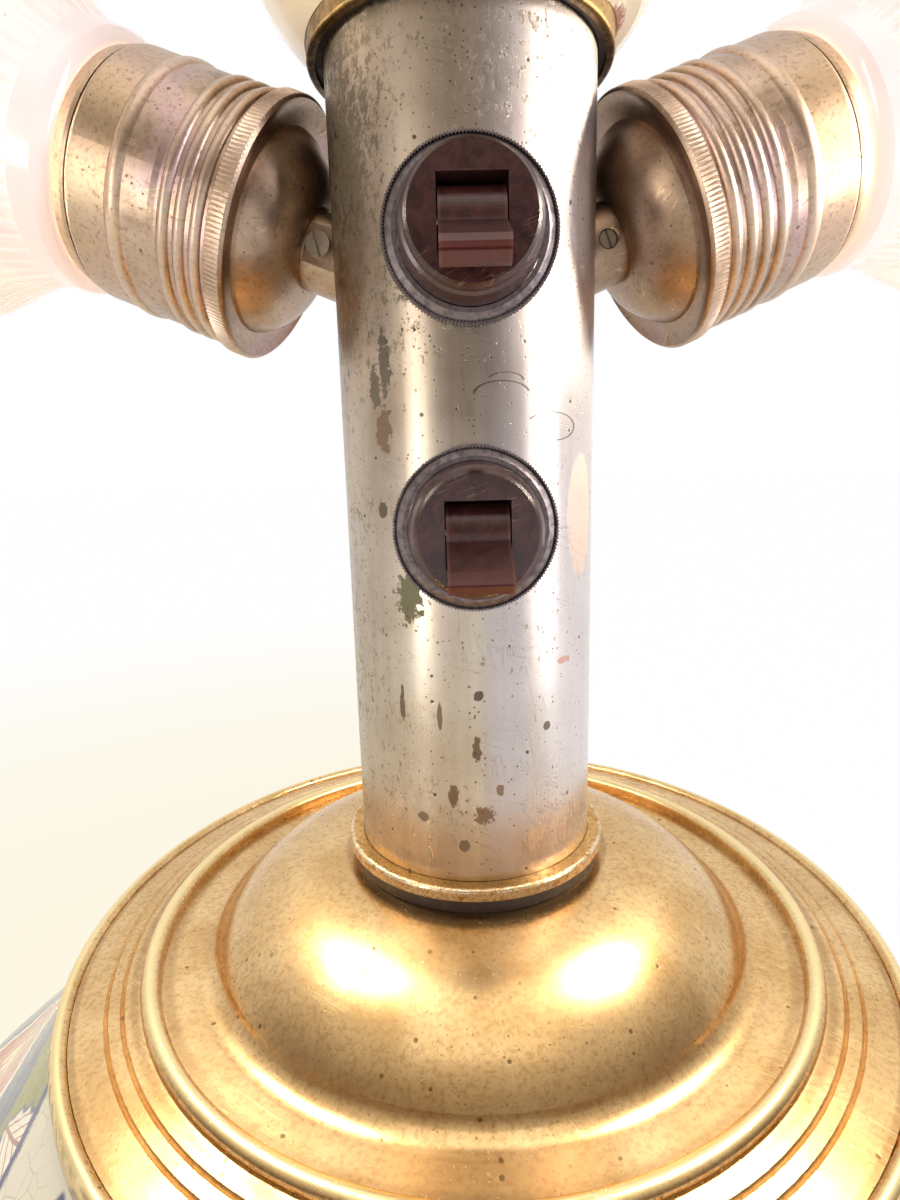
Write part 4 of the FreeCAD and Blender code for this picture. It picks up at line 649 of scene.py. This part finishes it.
# ------------------------------------------------------------------ glazed ball on top
# A cream-glazed earthenware ball that crowns the column. A piece has broken off its lower
# right side and shows the red-brown clay.
cream_glaze, tree, shader = plain_material("cream_glaze")
place = point_of(tree)
x, y, z = parts_of(tree, place)
hull = ((x / 34.0) ** 2.0 + (y / 34.0) ** 2.0 + ((z - 423.2) / 25.0) ** 2.0).root()
clay = (hull + (clouds(tree, place, 0.8, 4.0) - 0.5) * 0.012).rise(0.985, 0.978) * y.rise(2.0, 0.0)
tones = clouds(tree, place, 9.0, 4.0)
glaze = mixed(tree, tones, tone(228, 214, 186), tone(244, 234, 214))
runs, = place_group(tree, fine_pits, place=place, spacing=3.0, share=0.25, width=0.14)
glaze = mixed(tree, runs * 0.6, glaze, tone(150, 112, 76))
crumb = clouds(tree, place, 0.9, 6.0, 0.8)
terracotta = mixed(tree, crumb.rise(0.35, 0.7), tone(128, 66, 44), tone(186, 120, 88))
wire(tree, shader, base_color=mixed(tree, clay, glaze, terracotta),
     roughness=(tones * 0.08 + 0.12 + clay * 0.7), coat_weight=(1.0 - clay) * 0.5, coat_roughness=0.05)
bumped(tree, shader, tones * 0.8 + crumb * clay * 3.0, 0.12)
dress(cream_glaze, "top_ball")


# ------------------------------------------------------------------ lever switches
# Two moulded switches of dark maroon resin, each clamped by a knurled round nut that has gone
# dark grey. The levers are redder, rubbed bright at the tip, with dust caught in the slot.
SWITCH_HEIGHTS = {"upper": 0.3727, "lower": 0.3302}
LEVER_PIVOT_OUT = 0.0275
MM = 1000.0


def switch_point(tree, height):
    """Place on a switch in millimetres: across, up from its middle, out from the column."""
    x, y, z = parts_of(tree, point_of(tree))
    return x, z - height * MM, y * -1.0


for name, height in SWITCH_HEIGHTS.items():
    bakelite, tree, shader = plain_material(name + "_switch_resin")
    place = point_of(tree)
    x, rise_up, out = switch_point(tree, height)
    ring = (x * x + rise_up * rise_up).root()
    marble = clouds(tree, place, 3.0, 4.0, 0.65, warp=1.5)
    dust = clouds(tree, place, 0.5, 5.0, 0.8)
    in_slot = x.size().rise(5.0, 4.6) * rise_up.size().rise(5.2, 4.7)
    resin = mixed(tree, marble.rise(0.35, 0.7), tone(46, 23, 23), tone(70, 39, 38))
    ledge = (ring - 9.6).size().rise(0.7, 0.2)
    resin = mixed(tree, ledge * 0.35, resin, tone(104, 74, 68))
    resin = mixed(tree, dust.rise(0.60, 0.72) * (0.16 + in_slot * 0.5), resin, tone(172, 152, 132))
    smear, = place_group(tree, hair_lines, place=place, turn=(1.57, 0.0, 0.4), length=9.0, pitch=1.1,
                         share=0.4)
    resin = mixed(tree, smear * 0.3, resin, tone(150, 120, 112))
    wire(tree, shader, base_color=resin, roughness=(marble * 0.10 + 0.16 + in_slot * 0.25 + dust * 0.08),
         coat_weight=0.25, coat_roughness=0.12)
    bumped(tree, shader, marble * 0.5 + dust * 0.2 - smear * 0.2, 0.03)
    dress(bakelite, name + "_switch_housing")

    lever_resin, tree, shader = plain_material(name + "_lever_resin")
    place = point_of(tree)
    x, rise_up, out = switch_point(tree, height)
    marble = clouds(tree, place, 2.0, 4.0, 0.65, warp=1.0)
    dust = clouds(tree, place, 0.45, 5.0, 0.8)
    rubbed = (out + rise_up * -0.55 + x.size() * 0.06).rise(39.0, 42.6)
    edge = x.size().rise(4.05, 4.5)
    resin = mixed(tree, marble.rise(0.35, 0.7), tone(50, 22, 21), tone(72, 35, 32))
    resin = mixed(tree, rubbed * 0.5, resin, tone(104, 48, 42))
    resin = mixed(tree, edge * 0.35, resin, tone(122, 76, 64))
    resin = mixed(tree, dust.rise(0.62, 0.72) * 0.22, resin, tone(176, 156, 136))
    wire(tree, shader, base_color=resin, roughness=(marble * 0.12 + 0.24 + dust * 0.06), coat_weight=0.12,
         coat_roughness=0.2)
    bumped(tree, shader, marble * 0.4 + dust * 0.2, 0.03)
    dress(lever_resin, name + "_switch_lever")

    # The lever's skirt: a thin moulded curtain round the pivot that keeps dust out of the slot.
    skirt_out, skirt_in, skirt_half = 0.00445, 0.0038, 0.0046
    corners, faces = [], []
    steps, skirt_start, skirt_sweep = 18, -20.0, 106.0
    for step in range(steps + 1):
        turn = math.radians(skirt_start + skirt_sweep * step / steps)
        for radius in (skirt_out, skirt_in):
            for side in (-skirt_half, skirt_half):
                corners.append((side, -LEVER_PIVOT_OUT - radius * math.cos(turn),
                                height + radius * math.sin(turn)))
        if step:
            low, top = 4 * (step - 1), 4 * step
            faces += [(low, low + 1, top + 1, top), (low + 3, low + 2, top + 2, top + 3),
                      (low + 2, low, top, top + 2), (low + 1, low + 3, top + 3, top + 1)]
    faces += [(0, 2, 3, 1), (4 * steps, 4 * steps + 1, 4 * steps + 3, 4 * steps + 2)]
    mesh = bpy.data.meshes.new(name + "_lever_skirt")
    mesh.from_pydata(corners, [], faces)
    skirt = bpy.data.objects.new(name + "_lever_skirt", mesh)
    bpy.context.scene.collection.objects.link(skirt)
    mesh.materials.append(lever_resin)
    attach(skirt, name + "_lever")

dark_nut, tree, shader = plain_material("oxidised_nut")
place = point_of(tree)
grime = clouds(tree, place, 1.2, 5.0, 0.7)
pits, = place_group(tree, fine_pits, place=place, spacing=0.6, share=0.4, width=0.3)
metal = mixed(tree, grime.rise(0.35, 0.7), tone(138, 128, 130), tone(98, 88, 90))
metal = mixed(tree, pits * 0.3, metal, tone(146, 138, 132))
wire(tree, shader, base_color=metal, metallic=0.9, roughness=grime.rise(0.3, 0.7, 0.34, 0.55))
bumped(tree, shader, grime * 0.6 - pits * 0.4, 0.04)
dress(dark_nut, "upper_switch_nut", "lower_switch_nut")

bright_pin, tree, shader = plain_material("bright_pin")
place = point_of(tree)
wire(tree, shader, base_color=mixed(tree, clouds(tree, place, 0.8), tone(168, 168, 166), tone(206, 206, 204)),
     metallic=1.0, roughness=clouds(tree, place, 0.4).rise(0.3, 0.7, 0.16, 0.3))
dress(bright_pin, "upper_switch_pin", "lower_switch_pin")

spring_brass, tree, shader = plain_material("spring_brass")
place = point_of(tree)
rub = clouds(tree, place, 1.5, 4.0)
wire(tree, shader, base_color=mixed(tree, rub, tone(96, 62, 36), tone(134, 94, 56)), metallic=1.0,
     roughness=rub.rise(0.3, 0.7, 0.34, 0.5))
bumped(tree, shader, rub, 0.02)
dress(spring_brass, "upper_switch_blade", "lower_switch_blade", "left_thread_sleeve", "right_thread_sleeve",
      "left_centre_contact", "right_centre_contact")

screw_steel, tree, shader = plain_material("dull_screw")
place = point_of(tree)
rust_bloom = clouds(tree, place, 0.9, 5.0, 0.75)
wire(tree, shader, base_color=mixed(tree, rust_bloom.rise(0.5, 0.75), tone(168, 156, 138), tone(104, 78, 56)),
     metallic=1.0, roughness=rust_bloom.rise(0.3, 0.8, 0.3, 0.6))
bumped(tree, shader, rust_bloom, 0.04)
dress(screw_steel, "upper_switch_terminals", "lower_switch_terminals", "left_set_screw", "right_set_screw",
      "left_terminals", "right_terminals")

# ------------------------------------------------------------------ knurls
# Straight knurls, rolled into the switch nuts and the rims of the lamp-holders so that they
# can be turned by hand: a row of small pointed teeth all round, parallel to the axis.
knurl = bpy.data.node_groups.new("knurled_band", "GeometryNodeTree")
for label, kind in (("Radius", "Float"), ("Length", "Float"), ("Teeth", "Int"), ("Tooth", "Float"),
                    ("Finish", "Material")):
    knurl.interface.new_socket(label, in_out="INPUT", socket_type="NodeSocket" + kind)
knurl.interface.new_socket("Band", in_out="OUTPUT", socket_type="NodeSocketGeometry")
source = knurl.nodes.new("NodeGroupInput").outputs
sink = knurl.nodes.new("NodeGroupOutput").inputs
circle = add(knurl, "GeometryNodeMeshCircle", {"Vertices": source["Teeth"], "Radius": source["Radius"]})
tooth = add(knurl, "GeometryNodeMeshCylinder", {"Vertices": 4, "Radius": source["Tooth"],
                                                "Depth": source["Length"]}, fill_type="NGON")
outward = add(knurl, "GeometryNodeInputPosition").outputs[0]
facing = add(knurl, "FunctionNodeAlignRotationToVector", {"Vector": outward}, axis="X")
row = add(knurl, "GeometryNodeInstanceOnPoints", {"Points": circle.outputs[0], "Instance": tooth.outputs[0],
                                                  "Rotation": facing.outputs[0]})
solid = add(knurl, "GeometryNodeRealizeInstances", {0: row.outputs[0]})
dressed = add(knurl, "GeometryNodeSetMaterial", {"Geometry": solid.outputs[0], "Material": source["Finish"]})
knurl.links.new(dressed.outputs[0], sink[0])


def repeated(tree, name, body, slot, place, **settings):
    """Turns a Geometry Nodes tree with these settings into one plain mesh that rides on a body."""
    piece = bpy.data.objects.new(name, bpy.data.meshes.new(name))
    bpy.context.scene.collection.objects.link(piece)
    modifier = piece.modifiers.new("repeat", "NODES")
    modifier.node_group = tree
    for item in tree.interface.items_tree:
        if item.in_out == "INPUT":
            modifier[item.identifier] = settings[item.name.lower()]
    graph = bpy.context.evaluated_depsgraph_get()
    mesh = bpy.data.meshes.new_from_object(piece.evaluated_get(graph))
    piece.modifiers.remove(modifier)
    piece.data = mesh
    mesh.transform(place)
    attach(piece, body)
    return piece


NUT_MIDDLE_OUT = 0.02375
for name, height in SWITCH_HEIGHTS.items():
    outward = Matrix.Translation((0.0, -NUT_MIDDLE_OUT, height)) @ Matrix.Rotation(math.pi / 2, 4, "X")
    repeated(knurl, name + "_nut_knurl", "lamp", "dark_nut", outward, radius=0.01256, length=0.0021,
             teeth=150, tooth=0.00028, finish=dark_nut)

# ------------------------------------------------------------------ side arms and lamp-holders
# Each holder hangs on a short nipple through the column: a turned nozzle with its set screw,
# a stamped cap with a knurled rim, and a stamped shell with rolled ridges. Old dull brass.
ARM_TILT, ARM_BACK, ARM_HEIGHT = math.radians(22.8), math.radians(8.5), 0.367
KNURL_MIDDLE = 0.0367


def arm_matrix(side):
    """From the arm's own axes (Z out along the arm, X to the front) to the lamp's."""
    sign = 1.0 if side == "right" else -1.0
    out = Vector((sign * math.cos(ARM_BACK) * math.cos(ARM_TILT), math.sin(ARM_BACK) * math.cos(ARM_TILT),
                  math.sin(ARM_TILT)))
    front = Vector((sign * math.sin(ARM_BACK), -math.cos(ARM_BACK), 0.0))
    across = out.cross(front)
    return Matrix(((front.x, across.x, out.x, 0.0), (front.y, across.y, out.y, 0.0),
                   (front.z, across.z, out.z, ARM_HEIGHT), (0.0, 0.0, 0.0, 1.0)))


def arm_point(tree, side):
    """Place on an arm in millimetres, in the arm's own axes."""
    back = arm_matrix(side).inverted()
    spot = add(tree, "ShaderNodeTexCoord").outputs["Object"]
    turned = add(tree, "ShaderNodeMapping", {"Vector": spot, "Location": back.to_translation(),
                                             "Rotation": back.to_euler()}).outputs[0]
    return add(tree, "ShaderNodeVectorMath", {0: turned, "Scale": 1000.0}, operation="SCALE").outputs[0]


for side in ("left", "right"):
    holder_brass, tree, shader = plain_material(side + "_holder_brass")
    place = arm_point(tree, side)
    around, out, along = place_group(tree, round_place, place=place)
    patches = clouds(tree, place, 9.0, 5.0, 0.62)
    grain = clouds(tree, place, 0.8, 5.0, 0.75)
    pits, = place_group(tree, fine_pits, place=place, spacing=0.7, share=0.34, width=0.32)
    spots, = place_group(tree, fine_pits, place=place, spacing=2.4, share=0.2, width=0.18)
    barrel = along.rise(52.0, 56.0)
    # Partly rubbed wear, partly painted highlight: the crests of the rolled ridges and the knurled rim are
    # painted lighter.
    ridge_wear_and_highlight = (out - 20.9).rise(0.0, 0.3) * along.rise(38.6, 39.4)
    rim = (out - 21.5).rise(0.0, 0.3) * along.rise(38.8, 38.4)
    brass = mixed(tree, patches.rise(0.32, 0.68), tone(176, 152, 134), tone(202, 176, 154))
    brass = mixed(tree, clouds(tree, place, 18.0).rise(0.5, 0.65) * 0.5, brass, tone(190, 160, 172))
    brass = mixed(tree, barrel * 0.45, brass, tone(206, 178, 138))
    dull = (patches * -1.0 + 1.0).rise(0.55, 0.7) * (1.0 - barrel)
    brass = mixed(tree, dull * 0.5, brass, tone(134, 108, 78))
    # The cap end of each holder is painted darker, the right one more than the left.
    cap_darkening = 0.55 if side == "right" else 0.25
    brass = mixed(tree, along.rise(37.6, 36.8) * cap_darkening, brass, tone(128, 102, 78))
    brass = mixed(tree, grain.rise(0.50, 0.70) * 0.6, brass, tone(112, 90, 68))
    brass = mixed(tree, pits * 0.4, brass, tone(92, 70, 52))
    brass = mixed(tree, spots * 0.65, brass, tone(76, 58, 44))
    brass = mixed(tree, ridge_wear_and_highlight.most(rim) * grain.rise(0.9, 0.5) * 0.45, brass, tone(222, 198, 178))
    scratch, = place_group(tree, hair_lines, place=place, turn=(0.3, 0.2, 0.9), length=12.0, pitch=1.2,
                           share=0.42)
    brass = mixed(tree, scratch * 0.4, brass, tone(226, 200, 160))
    wire(tree, shader, base_color=brass, metallic=1.0,
         roughness=(patches * 0.12 + 0.24 + grain * 0.10 + pits * 0.2).least(0.8), anisotropic=0.2)
    bumped(tree, shader, grain * 0.3 - pits * 0.5 - spots - scratch * 0.2, 0.03)
    dress(holder_brass, side + "_nozzle", side + "_holder_cap", side + "_holder_shell",
          side + "_shade_ring")
    repeated(knurl, side + "_rim_knurl", "lamp", "holder_brass",
             arm_matrix(side) @ Matrix.Translation((0.0, 0.0, KNURL_MIDDLE)), radius=0.02162,
             length=0.0027, teeth=184, tooth=0.00033, finish=holder_brass)

# ------------------------------------------------------------------ porcelain inside the holders
# A white glazed porcelain insert carries the thread sleeve and the centre contact.
porcelain, tree, shader = plain_material("white_porcelain")
place = point_of(tree)
milky = clouds(tree, place, 3.0, 3.0)
wire(tree, shader, base_color=mixed(tree, milky, tone(228, 224, 214), tone(244, 241, 234)),
     roughness=milky.rise(0.3, 0.7, 0.16, 0.3))
bumped(tree, shader, milky, 0.05)
dress(porcelain, "left_porcelain", "right_porcelain")

# ------------------------------------------------------------------ tulip shades
# Pressed opal glass with round ribs, a smooth collar and a petalled rim. The milk-white glass
# lets the lamp's light out all over, a little pinker where it is thickest at the collar.
for side in ("left", "right"):
    opal, tree, shader = plain_material(side + "_opal_glass")
    place = arm_point(tree, side)
    around, out, along = place_group(tree, round_place, place=place)
    milk = clouds(tree, place, 8.0, 4.0)
    thick = along.rise(84.0, 70.0)
    flow = clouds(tree, place, 2.5, 3.0, stretch=(1.0, 1.0, 0.3))
    body = mixed(tree, milk.rise(0.3, 0.7), tone(238, 230, 226), tone(248, 243, 238))
    body = mixed(tree, thick * 0.6, body, tone(238, 218, 220))
    dusty, = place_group(tree, fine_pits, place=place, spacing=3.2, share=0.2, width=0.1)
    body = mixed(tree, dusty * 0.5, body, tone(176, 156, 140))
    # Painted glow: the glass gives off a faint light of its own, pinker at the collar and warmer further out.
    painted_glow = mixed(tree, along.rise(66.0, 100.0), tone(232, 208, 208), tone(255, 233, 214))
    wire(tree, shader, base_color=body, roughness=flow.rise(0.3, 0.7, 0.10, 0.2),
         emission_color=painted_glow, emission_strength=0.28, coat_weight=0.3, coat_roughness=0.05)
    bumped(tree, shader, flow + milk * 0.6, 0.08)
    dress(opal, side + "_tulip_shade")
    nodes[side + "_tulip_shade"].visible_shadow = False

# ------------------------------------------------------------------ lamp bulbs
# Frosted globe lamps with plain caps, both lit. A warm light stands in the middle of each.
# Globe and shade cast no shadow, so that it gets out through them.
frosted, tree, shader = plain_material("frosted_globe")
place = point_of(tree)
frost = clouds(tree, place, 0.5, 4.0)
wire(tree, shader, base_color=mixed(tree, frost, tone(250, 236, 208), tone(255, 246, 228)),
     roughness=frost.rise(0.3, 0.7, 0.4, 0.6), emission_color=tone(255, 226, 176), emission_strength=0.9)
dress(frosted, "left_bulb_glass", "right_bulb_glass")

rolled_cap, tree, shader = plain_material("rolled_lamp_cap")
place = point_of(tree)
rub = clouds(tree, place, 1.2)
wire(tree, shader, base_color=mixed(tree, rub, tone(176, 174, 168), tone(210, 208, 202)), metallic=1.0,
     roughness=rub.rise(0.3, 0.7, 0.24, 0.4))
bumped(tree, shader, rub, 0.05)
dress(rolled_cap, "left_bulb_cap", "right_bulb_cap")


def bulb_light(name, place, radius, power):
    """A small warm light that isn't seen itself."""
    bulb = bpy.data.lights.new(name, "POINT")
    bulb.energy = power
    bulb.color = (1.0, 0.88, 0.70)
    bulb.shadow_soft_size = radius
    glow = bpy.data.objects.new(name, bulb)
    glow.location = place
    glow.visible_camera = False
    bpy.context.scene.collection.objects.link(glow)
    return glow


BULB_CENTRE_T = 0.088
GLINTS = {"left": (-0.0905, 0.0026, 0.400), "right": (0.0995, -0.0111, 0.400)}
for side, glint_place in GLINTS.items():
    nodes[side + "_bulb_glass"].visible_shadow = False
    bulb_light(side + "_bulb_light", arm_matrix(side) @ Vector((0.0, 0.0, BULB_CENTRE_T)), 0.02, 1.0)
    # A second light that leaves out diffuse surfaces. Glossy ones all mirror it, and it is here
    # for the bright spot on the cap, where the bulb's own light gave no clear glint. It stands
    # where that spot mirrors to: in the shade, off the bulb's centre, on the right outside the globe.
    bulb_light(side + "_glint", glint_place, 0.010, 2.0).visible_diffuse = False
